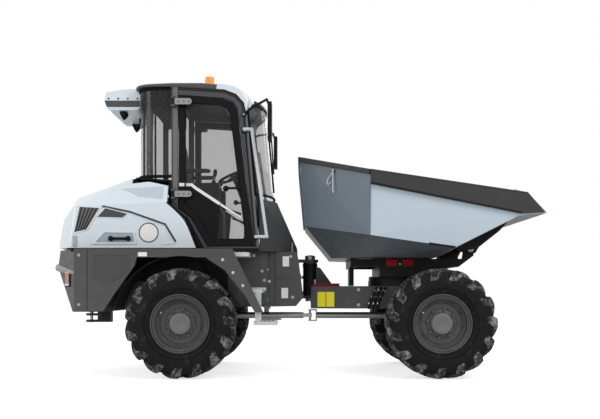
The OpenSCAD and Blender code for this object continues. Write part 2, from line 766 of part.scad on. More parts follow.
module slew_frame() {
    color(black_paint) {
        translate([slew_x, 0, front_top_z + 10]) cylinder(r = bearing_in - running_gap, h = bearing_h,
            $fn = 96);
        translate([slew_x, 0, slew_base_z]) cylinder(r = bearing_r - 6, h = 40, $fn = 96);
        difference() {
            block([slew_x - 260, -beam_y - beam_w, slew_base_z + 40], [slew_x + 260, beam_y + beam_w,
                beam_low_z + 10]);
            block([slew_x - 170, -70, slew_base_z + 20], [slew_x + 300, 70, beam_low_z + 20]);
        }
        both_sides() {
            difference() {
                slab([[slew_x - 560, beam_low_z], [slew_x + 560, beam_low_z], [tip_x + 45, tip_z - 70],
                    [tip_x + 45, tip_z + 30], [tip_x - 45, tip_z + 30], [tip_x - 70, beam_top_z],
                    [slew_x - 560, beam_top_z]], beam_y, beam_y + beam_w);
            }
            cross_bar(tip_x, tip_z, beam_y + beam_w - 1, beam_y + beam_w + 60, tip_pin_r);
        }
        block([slew_x - 560, -beam_y, beam_low_z], [slew_x - 500, beam_y, beam_top_z]);
        block([slew_x + 500, -beam_y, beam_low_z], [slew_x + 550, beam_y, beam_low_z + 30]);
        // Rest on the front frame behind the bearing
        block([slew_x - 555, -120, front_top_z + 6], [slew_x - 505, 120, beam_low_z + 1]);
        // Pins' ears of the tip ram's barrel
        both_sides() block([tip_base.x - 40, 45, slew_base_z + 30], [tip_base.x + 40, 70,
            tip_base.z + 50]);
        cross_bar(tip_base.x, tip_base.z, -60, 60, ram_pin_r);
    }
}

// Skip

rail_rear_z = 2240;
rail_fold_z = 2026;
rail_front_z = 1802;
lip_z = 1615;

// Body of the skip, taken in by d and drawn up by top for its inside
module skip_body(d, top) {
    half = skip_w / 2 - d;
    back = skip_back_w / 2 - d;
    low = skip_floor_z + d;
    solid_of([for (s = [-1, 1]) each [
        [skip_rear_x + d, s * back, rail_rear_z + top],
        [skip_fold_x + d / 3, s * half, rail_fold_z + top],
        [front_x - 186, s * half, rail_front_z + top],
        [skip_rear_x + 59 + d, s * (back - 20), 1529 + d / 2],
        [skip_fold_x + d / 3, s * (half - 45), 1399],
        [front_axle_x + 142 - d, s * (half - 60), 1279 + d],
        [skip_rear_x + 332 + d, s * (back - 20), low],
        [skip_fold_x + 60, s * (half - 250), low],
        [front_axle_x + 6 - d / 3, s * (half - 250), low],
        [front_axle_x + 762 - d / 2, s * half, 1591 + d]]]);
}

module skip_shell() {
    half = skip_w / 2;
    inner = half - skip_t;
    color(light_paint) difference() {
        union() {
            skip_body(0, 0);
            // Lip
            solid_of([for (s = [-1, 1]) each [[front_axle_x + 700, s * half, 1575],
                [front_axle_x + 700, s * half, 1840],
                [front_x - 186, s * half, rail_front_z], [front_x, s * half, lip_z + 4], [front_x,
                s * half, lip_z - 8]]]);
        }
        skip_body(skip_t, 90);
        solid_of([for (s = [-1, 1]) each [[front_axle_x + 640, s * inner, 1575 + skip_t],
            [front_axle_x + 640, s * inner, 2000],
            [front_axle_x + 700, s * inner, 1576 + skip_t * 1.2], [front_x + 20, s * inner, lip_z + 6],
            [front_x + 20, s * inner, 2000]]]);
    }
}

module skip_rails() {
    color(dark_paint) both_sides() slab([[skip_fold_x, rail_fold_z + 4], [skip_fold_x, rail_fold_z - 140],
        [front_axle_x + 760, 1600], [front_x - 20, 1612], [front_x - 190, rail_front_z + 4]],
        skip_w / 2 + 0.4, skip_w / 2 + 34);
}

module skip_underframe() {
    color(black_paint) {
        both_sides() difference() {
            slab([[tip_x - 60, tip_z - 45], [tip_x + 55, tip_z - 45], [tip_x + 190, tip_z + 190],
                [tip_x - 150, tip_z + 2]],
                beam_y + beam_w + 5, beam_y + beam_w + 45);
            cross_bar(tip_x, tip_z, 0, 1000, tip_pin_r + running_gap);
            skip_body(-0.3, 0);
        }
        both_sides() difference() {
            slab([[tip_eye.x - 60, tip_eye.z + 20], [tip_eye.x + 30, tip_eye.z - 30],
                [tip_eye.x + 150, tip_eye.z + 150],
                [tip_eye.x - 140, tip_eye.z + 20]], 62, 84);
            skip_body(-0.3, 0);
        }
    }
}

// Rams

module ram_eye(r, w) {
    difference() {
        translate([0, 0, -w / 2]) cylinder(r = r, h = w);
        translate([0, 0, -w]) cylinder(r = ram_pin_r + running_gap, h = 2 * w);
    }
}

module ram_frame(base, eye, upright) {
    v = eye - base;
    translate(base) rotate([0, 0, atan2(v.y, v.x)]) rotate([0, -asin(v.z / norm(v)), 0])
        rotate([upright ? 0 : 90, 0, 0]) children();
}

module barrel(base, eye, r, length, upright) {
    color(black_paint) ram_frame(base, eye, upright) {
        ram_eye(36, 50);
        difference() {
            translate([30, 0, 0]) rotate([0, 90, 0]) cylinder(r = r, h = length - 30);
            translate([70, 0, 0]) rotate([0, 90, 0]) cylinder(r = r * 0.55 + running_gap, h = length);
        }
    }
}

module ram_rod(base, eye, r, start, upright) {
    reach = norm(eye - base);
    color(steel_grey) ram_frame(base, eye, upright) {
        translate([start, 0, 0]) rotate([0, 90, 0]) cylinder(r = r * 0.55, h = reach - start - 30);
        translate([reach, 0, 0]) ram_eye(34, 46);
    }
}

steer_bore_r = 36;
steer_length = 330;
tip_bore_r = 40;
tip_length = 330;

rear_frame();
counterweight();
tow_hitch();
mirror([0, 1, 0]) side_panel();  // side_panel_right
side_panel();  // side_panel_left
battery_block();
axle(rear_axle_x, rail_low_z, 1);  // rear_axle
rear_lamps();
hood();
mirror([0, 1, 0]) hood_side();  // hood_side_right
hood_side();  // hood_side_left
hood_grilles();
hood_latches();
kingpin();
propshaft_rear();
cab_frame();
cab_tub();
cab_roof();
roof_unit();
beacon();
windshield();
rear_glass();
front_cowl();
seat_base();
seat_cushion();
seat_back();
dashboard();
steering_wheel();
mirrors();
handrails();
steps();
work_lamps();
door(-1);  // door_right
door_glass(-1);  // door_glass_right
door(1);  // door_left
door_glass(1);  // door_glass_left
tyre(rear_axle_x, -1);  // tyre_rear_right
rim(rear_axle_x, -1);  // rim_rear_right
tyre(rear_axle_x, 1);  // tyre_rear_left
rim(rear_axle_x, 1);  // rim_rear_left
tyre(front_axle_x, -1);  // tyre_front_right
rim(front_axle_x, -1);  // rim_front_right
tyre(front_axle_x, 1);  // tyre_front_left
rim(front_axle_x, 1);  // rim_front_left
front_frame();
axle(front_axle_x, front_low_z, -1);  // front_axle
slew_bearing();
lock_bar();
propshaft_front();
slew_frame();
skip_shell();
skip_rails();
skip_underframe();
barrel(steer_base, steer_eye, steer_bore_r, steer_length,  // steer_barrel
    true);
ram_rod(steer_base, steer_eye, steer_bore_r,  // steer_rod
    steer_length - 130, true);
barrel(tip_base, tip_eye, tip_bore_r, tip_length, false);  // tip_barrel
ram_rod(tip_base, tip_eye, tip_bore_r, tip_length - 130, false);  // tip_rod
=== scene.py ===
import math

import bmesh
import bpy
from mathutils import Matrix, Vector
from mathutils.bvhtree import BVHTree


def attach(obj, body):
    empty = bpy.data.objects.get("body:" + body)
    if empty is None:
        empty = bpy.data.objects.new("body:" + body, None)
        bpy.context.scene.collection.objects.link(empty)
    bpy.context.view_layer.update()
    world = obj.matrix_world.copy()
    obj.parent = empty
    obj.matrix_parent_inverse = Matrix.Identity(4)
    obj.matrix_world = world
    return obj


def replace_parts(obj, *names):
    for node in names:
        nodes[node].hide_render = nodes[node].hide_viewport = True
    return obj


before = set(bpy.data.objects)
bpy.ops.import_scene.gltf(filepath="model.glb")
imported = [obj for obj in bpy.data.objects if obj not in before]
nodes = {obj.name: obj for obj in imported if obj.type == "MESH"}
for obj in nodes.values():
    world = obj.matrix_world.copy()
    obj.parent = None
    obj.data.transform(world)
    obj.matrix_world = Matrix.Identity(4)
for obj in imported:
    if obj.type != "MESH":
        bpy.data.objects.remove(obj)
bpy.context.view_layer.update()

# Places shared with part.scad, in metres: rear face, axles, kingpin, slew axis, tip pin and wheels
REAR_X = -2.43
RA, FA = -1.11, 1.42
PIVOT, SLEW, TIP = 0.155, 1.13, 1.801
AXLE_Z, WHEEL_Y = 0.5375, 0.92
# Outer faces of the hood, the side panels, the hitch tower and the skip rails
HOOD_Y, PANEL_Y, TOWER_Y, RAIL_Y = 0.79, 1.045, 0.4, 1.084
SIDES = ((-1, "right"), (1, "left"))
UP = (0, 0, 1)


# Materials

DUST = (0.36, 0.33, 0.29)


def new_material(name):
    m = bpy.data.materials.new(name)
    m.use_nodes = True
    return m, m.node_tree, m.node_tree.nodes["Principled BSDF"]


def plug(tree, socket, value):
    """Link a socket or set its value; a colour gets its alpha."""
    if isinstance(value, bpy.types.NodeSocket):
        tree.links.new(value, socket)
    elif socket.type == "RGBA":
        socket.default_value = (*value, 1)
    else:
        socket.default_value = value


def give(tree, node, **values):
    """Set a node's inputs and properties; _ stands for the space in an input's name."""
    for key, value in values.items():
        socket = node.inputs.get(key.replace("_", " "))
        if socket is None:
            setattr(node, key, value)
        else:
            plug(tree, socket, value)
    return node


def add(tree, kind, **values):
    return give(tree, tree.nodes.new("ShaderNode" + kind), **values)


def coords(tree, kind="Object"):
    return add(tree, "TexCoord").outputs[kind]


def noise(tree, scale, detail=4.0, rough=0.5):
    n = add(tree, "TexNoise", Scale=scale, Detail=detail, Roughness=rough, Vector=coords(tree))
    return n.outputs["Fac"]


def wave(tree, direction, scale):
    w = add(tree, "TexWave", wave_type="BANDS", bands_direction=direction, Scale=scale, Vector=coords(tree))
    return w.outputs["Fac"]


def ramp(tree, fac, stops):
    """Grey ramp through stops of (position, value)."""
    r = add(tree, "ValToRGB", Fac=fac)
    for e, (position, value) in zip(r.color_ramp.elements, stops):
        e.position = position
        e.color = (value, value, value, 1)
    return r.outputs["Color"]


def mix(tree, fac, a, b):
    m = add(tree, "Mix", data_type="RGBA")
    for index, value in ((0, fac), (6, a), (7, b)):
        plug(tree, m.inputs[index], value)
    return m.outputs[2]


def maths(tree, operation, a, b):
    n = add(tree, "Math", operation=operation)
    plug(tree, n.inputs[0], a)
    plug(tree, n.inputs[1], b)
    return n.outputs[0]


def bump(tree, shader, height, strength, distance):
    b = add(tree, "Bump", Strength=strength, Distance=distance, Height=height)
    give(tree, shader, Normal=b.outputs["Normal"])


def shade(c, k):
    return tuple(min(1.0, v * k) for v in c)


def low_dust(tree, top, depth, amount):
    """Dust that grows towards the ground, broken up by noise."""
    height = add(tree, "SeparateXYZ", Vector=coords(tree)).outputs["Z"]
    fade = add(tree, "MapRange", From_Min=top, From_Max=top - depth, Value=height)
    patch = ramp(tree, noise(tree, 9.0, 6.0, 0.65), [(0.35, 0.0), (0.75, amount)])
    return maths(tree, "MULTIPLY", fade.outputs["Result"], patch)


def paint(name, rgb, rough, coat=0.0, dust=0.25, dust_top=1.3, vary=0.07, peel=0.05, scale=260, spec=0.5,
          dirt=0.86, patchy=1.0):
    """Paint or plastic: tone that varies, fine dirt, dust low down, patchy gloss and a fine peel."""
    m, t, s = new_material(name)
    base = mix(t, noise(t, 3.1, 5.0, 0.6), shade(rgb, 1 - vary), shade(rgb, 1 + vary))
    base = mix(t, ramp(t, noise(t, 55.0, 3.0), [(0.42, 0.0), (0.8, 0.3)]), base, shade(rgb, dirt))
    if dust:
        base = mix(t, low_dust(t, dust_top, 1.0, dust), base, DUST)
    dull, shiny = min(1, rough + 0.1 * patchy), max(0.03, rough - 0.07 * patchy)
    give(t, s, Base_Color=base, Roughness=ramp(t, noise(t, 17.0), [(0.3, shiny), (0.75, dull)]),
         Specular_IOR_Level=spec, Coat_Weight=coat, Coat_Roughness=0.08)
    bump(t, s, noise(t, scale, 2.0), peel, 0.001)
    return m


def rubber(name, rgb, dust, grain=0.35, pale=(0.3, 0.29, 0.28), spec=0.15, lift=0.0):
    """Rubber with pale specks and streaks of dry dirt, on the lugs partly painted highlight; lift spreads
    them.
    """
    m, t, s = new_material(name)
    base = mix(t, noise(t, 6.0, 6.0, 0.7), shade(rgb, 0.7), shade(rgb, 1.4))
    speck = ramp(t, noise(t, 30.0, 9.0, 0.75), [(0.54 - lift, 0.0), (0.68 - lift, dust * 0.8)])
    streak = ramp(t, noise(t, 8.0, 10.0, 0.78), [(0.55 - lift, 0.0), (0.7 - lift, dust)])
    base = mix(t, streak, mix(t, speck, base, shade(pale, 0.6)), pale)
    give(t, s, Base_Color=base, Roughness=ramp(t, noise(t, 30.0, 5.0), [(0.3, 0.62), (0.8, 0.92)]),
         Specular_IOR_Level=spec)
    bump(t, s, noise(t, 140, 6.0, 0.65), grain, 0.003)
    return m


def glass(name, rgb, veil, rough=0.02):
    """Tinted pane: mostly see-through, with a clear gloss on top."""
    m, t, s = new_material(name)
    base = mix(t, ramp(t, noise(t, 2.2), [(0.3, 0.0), (0.8, 0.6)]), rgb, shade(rgb, 0.8))
    smear = ramp(t, noise(t, 14.0, 5.0), [(0.4, rough), (0.85, rough + 0.05)])
    give(t, s, Base_Color=base, Roughness=smear, Alpha=veil, IOR=1.45)
    return m


def lens(name, rgb, emit=0.0):
    """Lamp lens with moulded ribs."""
    m, t, s = new_material(name)
    ribs = wave(t, "Z", 60.0)
    give(t, s, Base_Color=mix(t, ribs, shade(rgb, 0.7), rgb), Roughness=0.12, Coat_Weight=0.6)
    if emit:
        give(t, s, Emission_Color=rgb, Emission_Strength=emit)
    bump(t, s, ribs, 0.35, 0.002)
    return m


def metal(name, rgb, rough, dust=0.0):
    """Bare metal, brushed along x."""
    m, t, s = new_material(name)
    along = add(t, "Mapping", Scale=(1.0, 9.0, 9.0), Vector=coords(t)).outputs["Vector"]
    brushed = add(t, "TexNoise", Scale=90.0, Detail=6.0, Vector=along).outputs["Fac"]
    base = mix(t, brushed, shade(rgb, 0.82), shade(rgb, 1.12))
    if dust:
        base = mix(t, low_dust(t, 1.2, 0.8, dust), base, DUST)
    give(t, s, Base_Color=base, Metallic=1.0, Roughness=ramp(t, brushed, [(0.3, rough), (0.8, rough + 0.14)]))
    bump(t, s, brushed, 0.05, 0.001)
    return m


def cloth(name, rgb):
    """Woven cloth with worn, paler patches."""
    m, t, s = new_material(name)
    x, y, z = (wave(t, direction, 90.0) for direction in "XYZ")
    weave = maths(t, "ADD", maths(t, "MULTIPLY", x, y), z)
    base = mix(t, weave, shade(rgb, 0.7), shade(rgb, 1.5))
    base = mix(t, ramp(t, noise(t, 8.0), [(0.45, 0.0), (0.8, 0.3)]), base, shade(rgb, 2.0))
    give(t, s, Base_Color=base, Roughness=0.9, Sheen_Weight=0.25)
    bump(t, s, weave, 0.4, 0.0015)
    return m


def mesh_grille(name, rgb):
    """Black punched sheet: a grid of holes painted near-black as painted shade for what is seen through them,
    with brighter rims.
    """
    m, t, s = new_material(name)
    grid = add(t, "TexVoronoi", Scale=95.0, Randomness=0.0, Vector=coords(t)).outputs["Distance"]
    sheet = mix(t, noise(t, 12.0), shade(rgb, 0.8), shade(rgb, 1.3))
    # Holes near-black: painted shade
    painted_hole_shade = ramp(t, grid, [(0.3, 1.0), (0.42, 0.0)])
    give(t, s, Base_Color=mix(t, painted_hole_shade, sheet, (0.004, 0.004, 0.004)), Roughness=0.5)
    bump(t, s, grid, 0.5, 0.003)
    return m


# slate_and_shade: corner panel tone, painted shade and partly two-tone paint; low: painted shade of downward
# faces
def skip_paint(name, light, slate_and_shade, low, inside):
    """Skip: light sides and back; slate corner panels, painted shade and partly two-tone paint; painted shade
    on every downward face (the dark lower strip), near-black on the front slope's underside, painted shade
    and partly black paint; a worn inside.
    """
    m, t, s = new_material(name)
    x, y, _ = add(t, "SeparateXYZ", Vector=coords(t)).outputs
    nx, ny, nz = add(t, "SeparateXYZ", Vector=coords(t, "Normal")).outputs

    def op(operation, a, b):
        return maths(t, operation, a, b)

    # Angled rear corner panels get a darker slate: painted shade, partly two-tone paint
    corner = op("MULTIPLY", op("LESS_THAN", x, 0.731), op("GREATER_THAN", op("ABSOLUTE", ny, 0.0), 0.25))
    # Faces that look downwards are darkened: painted shade
    under = op("LESS_THAN", nz, -0.35)
    # Downward faces of the front slope go near-black: painted shade, partly black paint
    slope = op("MULTIPLY", under, op("GREATER_THAN", x, 1.58))
    side_in = op("LESS_THAN", op("MULTIPLY", y, ny), -0.04)
    back_in = op("MULTIPLY", op("GREATER_THAN", nx, 0.2), op("LESS_THAN", x, 1.2))
    within = op("MAXIMUM", op("MAXIMUM", side_in, back_in), op("GREATER_THAN", nz, 0.25))
    base = mix(t, noise(t, 2.6, 5.0, 0.6), shade(light, 0.95), shade(light, 1.05))
    # Lay the painted shade and slate tones over the light paint
    for where, grain, dark, pale in (
            (corner, 2.6, shade(slate_and_shade, 0.92), shade(slate_and_shade, 1.1)),
            (under, 3.6, shade(low, 0.85), shade(low, 1.2)),
            (slope, 3.6, (0.01, 0.01, 0.011), (0.018, 0.018, 0.019))):
        base = mix(t, where, base, mix(t, noise(t, grain, 5.0), dark, pale))
    worn = mix(t, ramp(t, noise(t, 7.0, 8.0, 0.7), [(0.35, 0.0), (0.7, 1.0)]), inside, DUST)
    scuff = ramp(t, noise(t, 38.0, 7.0, 0.7), [(0.6, 0.0), (0.78, 0.22)])
    base = mix(t, scuff, mix(t, within, base, worn), (0.3, 0.31, 0.32))
    base = mix(t, low_dust(t, 1.7, 0.6, 0.16), base, DUST)
    gloss = ramp(t, noise(t, 15.0), [(0.3, 0.28), (0.75, 0.44)])
    give(t, s, Base_Color=base, Roughness=mix(t, within, gloss, (0.75, 0.75, 0.75)))
    bump(t, s, noise(t, 180.0), 0.06, 0.001)
    return m


# Each look: the record's slot that it belongs to, and its material
LOOKS = {
    "light": ("hood_shell", paint("light_shell", (0.7, 0.775, 0.835), 0.26, coat=0.45, dust=0.1, dust_top=1.5,
        vary=0.02, peel=0.02, dirt=0.97, patchy=0.2)),
    # Between the hood paint and its darker copy: painted shade for the shoulder scoop
    "light_mid": ("hood_shell", paint("hood_recess_painted_shade", (0.513, 0.585, 0.645), 0.4, dust=0.0, vary=0.02,
                                      peel=0.02,
        dirt=0.97, patchy=0.2)),
    # Darker copy of the hood paint: painted shade for the latch pocket and the corner block
    "light_shade": ("hood_shell", paint("light_shell_painted_shade", (0.36, 0.43, 0.49), 0.34, coat=0.3, dust=0.1,
        dust_top=1.6, vary=0.05)),
    # Skip: the slate corner tone and the dark lower tone are painted shade, the slate partly two-tone paint
    "skip": ("skip_paint", skip_paint("skip_two_tone_and_painted_shade", (0.53, 0.625, 0.7), (0.145, 0.18, 0.22),
        (0.062, 0.076, 0.09), (0.3, 0.35, 0.39))),
    "post": ("chassis_paint", paint("post_grey", (0.14, 0.14, 0.143), 0.4, dust=0.05, vary=0.08)),
    "strap": ("chassis_paint", paint("strap_grey", (0.3, 0.3, 0.305), 0.42, dust=0.0, vary=0.08)),
    # Paler grey of the rear ledge: painted highlight on its bevel
    "bumper": ("chassis_plastic", paint("ledge_grey_painted_highlight", (0.24, 0.24, 0.245), 0.34, coat=0.1, dust=0.12,
        vary=0.08)),
    "dark": ("chassis_paint", paint("chassis_grey", (0.072, 0.072, 0.074), 0.42, dust=0.2, vary=0.1,
                                    spec=0.3)),
    "frame": ("chassis_paint", paint("frame_grey", (0.07, 0.071, 0.074), 0.4, dust=0.14, vary=0.1, spec=0.3)),
    "rail": ("chassis_paint", paint("skip_rail_grey", (0.042, 0.041, 0.042), 0.45, dust=0.12, dust_top=1.5,
        vary=0.1, spec=0.25)),
    "cowl": ("chassis_plastic", paint("cowl_grey", (0.068, 0.068, 0.07), 0.5, dust=0.12, vary=0.06, peel=0.12,
        spec=0.25)),
    "black": ("black_paint", paint("black_paint", (0.008, 0.008, 0.009), 0.45, dust=0.16, vary=0.2,
                                   spec=0.15)),
    "door": ("black_paint", paint("door_black", (0.004, 0.004, 0.005), 0.3, dust=0.0, vary=0.15, peel=0.02,
        spec=0.15)),
    "plastic": ("black_plastic", paint("black_plastic", (0.009, 0.009, 0.01), 0.58, dust=0.1, vary=0.15,
        peel=0.25, scale=420, spec=0.12)),
    "grey_plastic": ("chassis_plastic", paint("grey_plastic", (0.075, 0.075, 0.077), 0.55, dust=0.1, vary=0.1,
        peel=0.2, scale=420, spec=0.2)),
    "rim": ("rim_paint", paint("rim_grey", (0.06, 0.061, 0.064), 0.34, dust=0.16, dust_top=1.2, vary=0.1,
        spec=0.4)),
    "light_steel": ("rail_paint", paint("light_rail", (0.62, 0.64, 0.66), 0.32, dust=0.08, vary=0.05)),
    "red": ("red_paint", paint("signal_red", (0.3, 0.006, 0.008), 0.42, dust=0.04, vary=0.1, spec=0.2)),
    "yellow": (None, paint("sticker_yellow", (1.0, 0.87, 0.01), 0.5, dust=0.0, vary=0.03, peel=0.0,
                           dirt=0.97)),
    "white": ("rail_paint", paint("sticker_white", (0.86, 0.86, 0.86), 0.35, dust=0.04, vary=0.03, peel=0.0)),
    "tyre": ("tyre_rubber", rubber("tyre_rubber", (0.008, 0.008, 0.008), 0.22, pale=(0.16, 0.155, 0.15))),
    # Lugs paler than the tyre: dust, and partly painted highlight on their sides and tops
    "lug": ("tyre_rubber", rubber("tyre_lug_dust_and_highlight", (0.014, 0.014, 0.014), 0.8, pale=(0.42, 0.41, 0.4),
        lift=0.05)),
    "seal": ("black_plastic", rubber("rubber_seal", (0.006, 0.006, 0.006), 0.06, grain=0.15, spec=0.12)),
    "glass": ("window_glass", glass("window_glass", (0.06, 0.061, 0.063), 0.22)),
    "mirror": ("chrome_rod", metal("mirror_glass", (0.8, 0.82, 0.84), 0.02)),
    "steel": ("steel", metal("steel", (0.42, 0.42, 0.43), 0.36, dust=0.2)),
    "chrome": ("chrome_rod", metal("chrome_rod", (0.8, 0.8, 0.82), 0.09)),
    "amber": ("beacon_amber", lens("amber_lens", (0.9, 0.3, 0.015), 0.25)),
    "red_lens": ("lamp_red", lens("red_lens", (0.42, 0.012, 0.012))),
    "clear_lens": ("window_glass", lens("clear_lens", (0.72, 0.74, 0.76))),
    "cloth": ("seat_cloth", cloth("seat_cloth", (0.022, 0.022, 0.024))),
    "grille": ("black_plastic", mesh_grille("grille_mesh", (0.1, 0.1, 0.1))),
}


# Mesh tools

def soften(ob, width, segments=2):
    """Bevel the sharp edges of an object."""
    b = ob.modifiers.new("bevel", "BEVEL")
    b.width = width
    b.segments = segments
    b.limit_method = "ANGLE"
    b.angle_limit = math.radians(30)


def enter(ob, body):
    """Put a new piece in the scene, on its body."""
    bpy.context.scene.collection.objects.link(ob)
    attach(ob, body)
    return ob


def clean_mesh(name, verts, faces, weld=False):
    """Mesh whose faces look outwards; weld joins points that coincide."""
    mesh = bpy.data.meshes.new(name)
    mesh.from_pydata([tuple(v) for v in verts], [], faces)
    bm = bmesh.new()
    bm.from_mesh(mesh)
    if weld:
        bmesh.ops.remove_doubles(bm, verts=bm.verts, dist=1e-6)
    bmesh.ops.recalc_face_normals(bm, faces=bm.faces)
    bm.to_mesh(mesh)
    bm.free()
    return mesh


def finish_mesh(name, mesh, body, looks, bevel=0.0, segments=2, smooth=True, angle=35):
    looks = (looks,) if isinstance(looks, str) else looks
    for look in looks:
        mesh.materials.append(LOOKS[look][1])
    if smooth:
        mesh.polygons.foreach_set("use_smooth", [True] * len(mesh.polygons))
        mesh.set_sharp_from_angle(angle=math.radians(angle))
    ob = bpy.data.objects.new(name, mesh)
    if bevel:
        soften(ob, bevel, segments)
    return enter(ob, body)


def solid(name, verts, faces, body, look, **kw):
    return finish_mesh(name, clean_mesh(name, verts, faces), body, look, **kw)


def loft(name, rings, body, look, **kw):
    """Closed skin over rings of points that all have the same count."""
    n, last = len(rings[0]), len(rings) - 1
    faces = [(i * n + j, i * n + (j + 1) % n, (i + 1) * n + (j + 1) % n, (i + 1) * n + j)
             for i in range(last) for j in range(n)]
    faces += [tuple(range(n)), tuple(range(last * n, last * n + n))]
    return solid(name, [p for r in rings for p in r], faces, body, look, **kw)


def prism(name, outline, y0, y1, body, look, **kw):
    """Outline in x-z, from y0 to y1."""
    return loft(name, [[(x, y, z) for x, z in outline] for y in (y0, y1)], body, look, **kw)


def box(name, low, high, body, look, bevel=0.004):
    x0, y0, z0 = low
    x1, y1, z1 = high
    return prism(name, [(x0, z0), (x1, z0), (x1, z1), (x0, z1)], y0, y1, body, look, bevel=bevel)


def ring_faces(count, n):
    """Faces between rings of n points each; the last ring meets the first."""
    return [(i * n + j, i * n + j + 1, (i + 1) % count * n + j + 1, (i + 1) % count * n + j)
            for i in range(count) for j in range(n - 1)]


def turned(name, profile, place, way, body, look, steps=48, **kw):
    """Profile of (radius, height) turned about an axis that runs through place along way."""
    q = Vector(UP).rotation_difference(Vector(way))
    verts = []
    for i in range(steps):
        a = 2 * math.pi * i / steps
        verts += [Vector(place) + q @ Vector((r * math.cos(a), r * math.sin(a), h)) for r, h in profile]
    mesh = clean_mesh(name, verts, ring_faces(steps, len(profile)), weld=True)
    return finish_mesh(name, mesh, body, look, **kw)


def disc(r, t):
    """Profile of a flat disc."""
    return [(0, 0), (r, 0), (r, t), (0, t)]


def tube(name, points, radius, body, look, smooth_path=True):
    curve = bpy.data.curves.new(name, "CURVE")
    curve.dimensions = "3D"
    curve.bevel_depth = radius
    curve.bevel_resolution = 4
    curve.use_fill_caps = True
    if smooth_path:
        spline = curve.splines.new("BEZIER")
        spline.bezier_points.add(len(points) - 1)
        for knot, p in zip(spline.bezier_points, points):
            knot.co = p
            knot.handle_left_type = knot.handle_right_type = "AUTO"
        spline.resolution_u = 10
    else:
        spline = curve.splines.new("POLY")
        spline.points.add(len(points) - 1)
        for knot, p in zip(spline.points, points):
            knot.co = (*p, 1)
    curve.materials.append(LOOKS[look][1])
    return enter(bpy.data.objects.new(name, curve), body)


def bent(points, radius, steps=6):
    """Points of a bent rod: each corner is rounded by radius."""
    pts = [Vector(p) for p in points]
    out = [pts[0]]
    for a, b, c in zip(pts, pts[1:], pts[2:]):
        d0, d1 = (a - b).normalized(), (c - b).normalized()
        r = min(radius, (a - b).length * 0.45, (c - b).length * 0.45)
        for i in range(steps + 1):
            f = i / steps
            out.append((b + d0 * r * (1 - f)) * (1 - f) + (b + d1 * r * f) * f)
    return out + [pts[-1]]


def rod(name, points, radius, body, look, bend=0.05):
    return tube(name, bent(points, bend), radius, body, look, smooth_path=False)


def band(points, w):
    """Outline of a band of width w along points in a plane."""
    pts = [Vector(p) for p in points]
    one, other = [], []
    for i, p in enumerate(pts):
        d0 = (p - pts[i - 1]).normalized() if i else (pts[1] - p).normalized()
        d1 = (pts[i + 1] - p).normalized() if i < len(pts) - 1 else d0
        n = Vector((-(d0.y + d1.y), d0.x + d1.x)).normalized()
        k = w / 2 / max(0.5, n.dot(Vector((-d0.y, d0.x))))
        one.append(tuple(p + n * k))
        other.append(tuple(p - n * k))
    return one + other[::-1]


def inset(outline, w):
    """Outline moved inwards by w."""
    pts = [Vector(p) for p in outline]
    n = len(pts)
    turn = 1 if sum(a.x * b.y - b.x * a.y for a, b in zip(pts[-1:] + pts, pts)) > 0 else -1
    out = []
    for i, p in enumerate(pts):
        d0, d1 = (p - pts[i - 1]).normalized(), (pts[(i + 1) % n] - p).normalized()
        a, b = Vector((-d0.y, d0.x)) * turn, Vector((-d1.y, d1.x)) * turn
        m = (a + b).normalized()
        out.append(tuple(p + m * (w / max(0.35, m.dot(a)))))
    return out


def border(name, outline, w, y0, y1, body, look, **kw):
    """Frame of width w inside an outline in x-z."""
    inner, n = inset(outline, w), len(outline)
    verts = [(x, y, z) for ring, y in ((outline, y0), (outline, y1), (inner, y1), (inner, y0)) for x,
             z in ring]
    faces = [(a * n + j, a * n + (j + 1) % n, (a + 1) % 4 * n + (j + 1) % n, (a + 1) % 4 * n + j)
             for a in range(4) for j in range(n)]
    return solid(name, verts, faces, body, look, **kw)


def pill(x0, x1, z, r, steps=10):
    """Outline of a flat bar with round ends."""
    arc = [(r * math.sin(math.pi * i / steps), r * math.cos(math.pi * i / steps)) for i in range(steps + 1)]
    return [(x1 - r + a, z + b) for a, b in arc] + [(x0 + r - a, z - b) for a, b in arc]


def bolt(name, place, way, r, body, look="steel"):
    """Hexagon head on a washer."""
    head = [(0, 0), (r, 0), (r, r * 0.62), (r * 0.86, r * 0.78), (0, r * 0.78)]
    turned(name + "_washer", disc(r * 1.35, r * 0.18), place, way, body, look, steps=24)
    turned(name, head, place, way, body, look, steps=6, smooth=False)


def decal(name, corners, out, body, look):
    """Thin sheet on a flat face; out is the way the face looks."""
    o = Vector(out).normalized() * 0.0012
    loft(name, [[Vector(c) for c in corners], [Vector(c) + o for c in corners]], body, look, smooth=False)


def side_decal(name, s, y, low, high, body, look):
    """Upright rectangle on the side face at y, between two (x, z) corners."""
    (x0, z0), (x1, z1) = low, high
    corners = [(x, s * y, z) for x, z in ((x0, z0), (x1, z0), (x1, z1), (x0, z1))]
    decal(name, corners, (0, s, 0), body, look)


def side_sheets(s, hand, face, body, rows):
    """Sheets on one side: name, outline in x-z, from and to past the face, look, bevel (0: sharp edges)."""
    return [prism(f"{name}_{hand}", outline, s * (face + y0), s * (face + y1), body, look, bevel=bevel,
                  smooth=bevel > 0) for name, outline, y0, y1, look, bevel in rows]


def side_bolts(name, s, y, places, r, body, pale=0):
    """Bolts in a side face at (x, z) places; the first ones are painted pale."""
    for k, (x, z) in enumerate(places):
        bolt(f"{name}_{k}", (x, s * y, z), (0, s, 0), r, body, "light_steel" if k < pale else "steel")


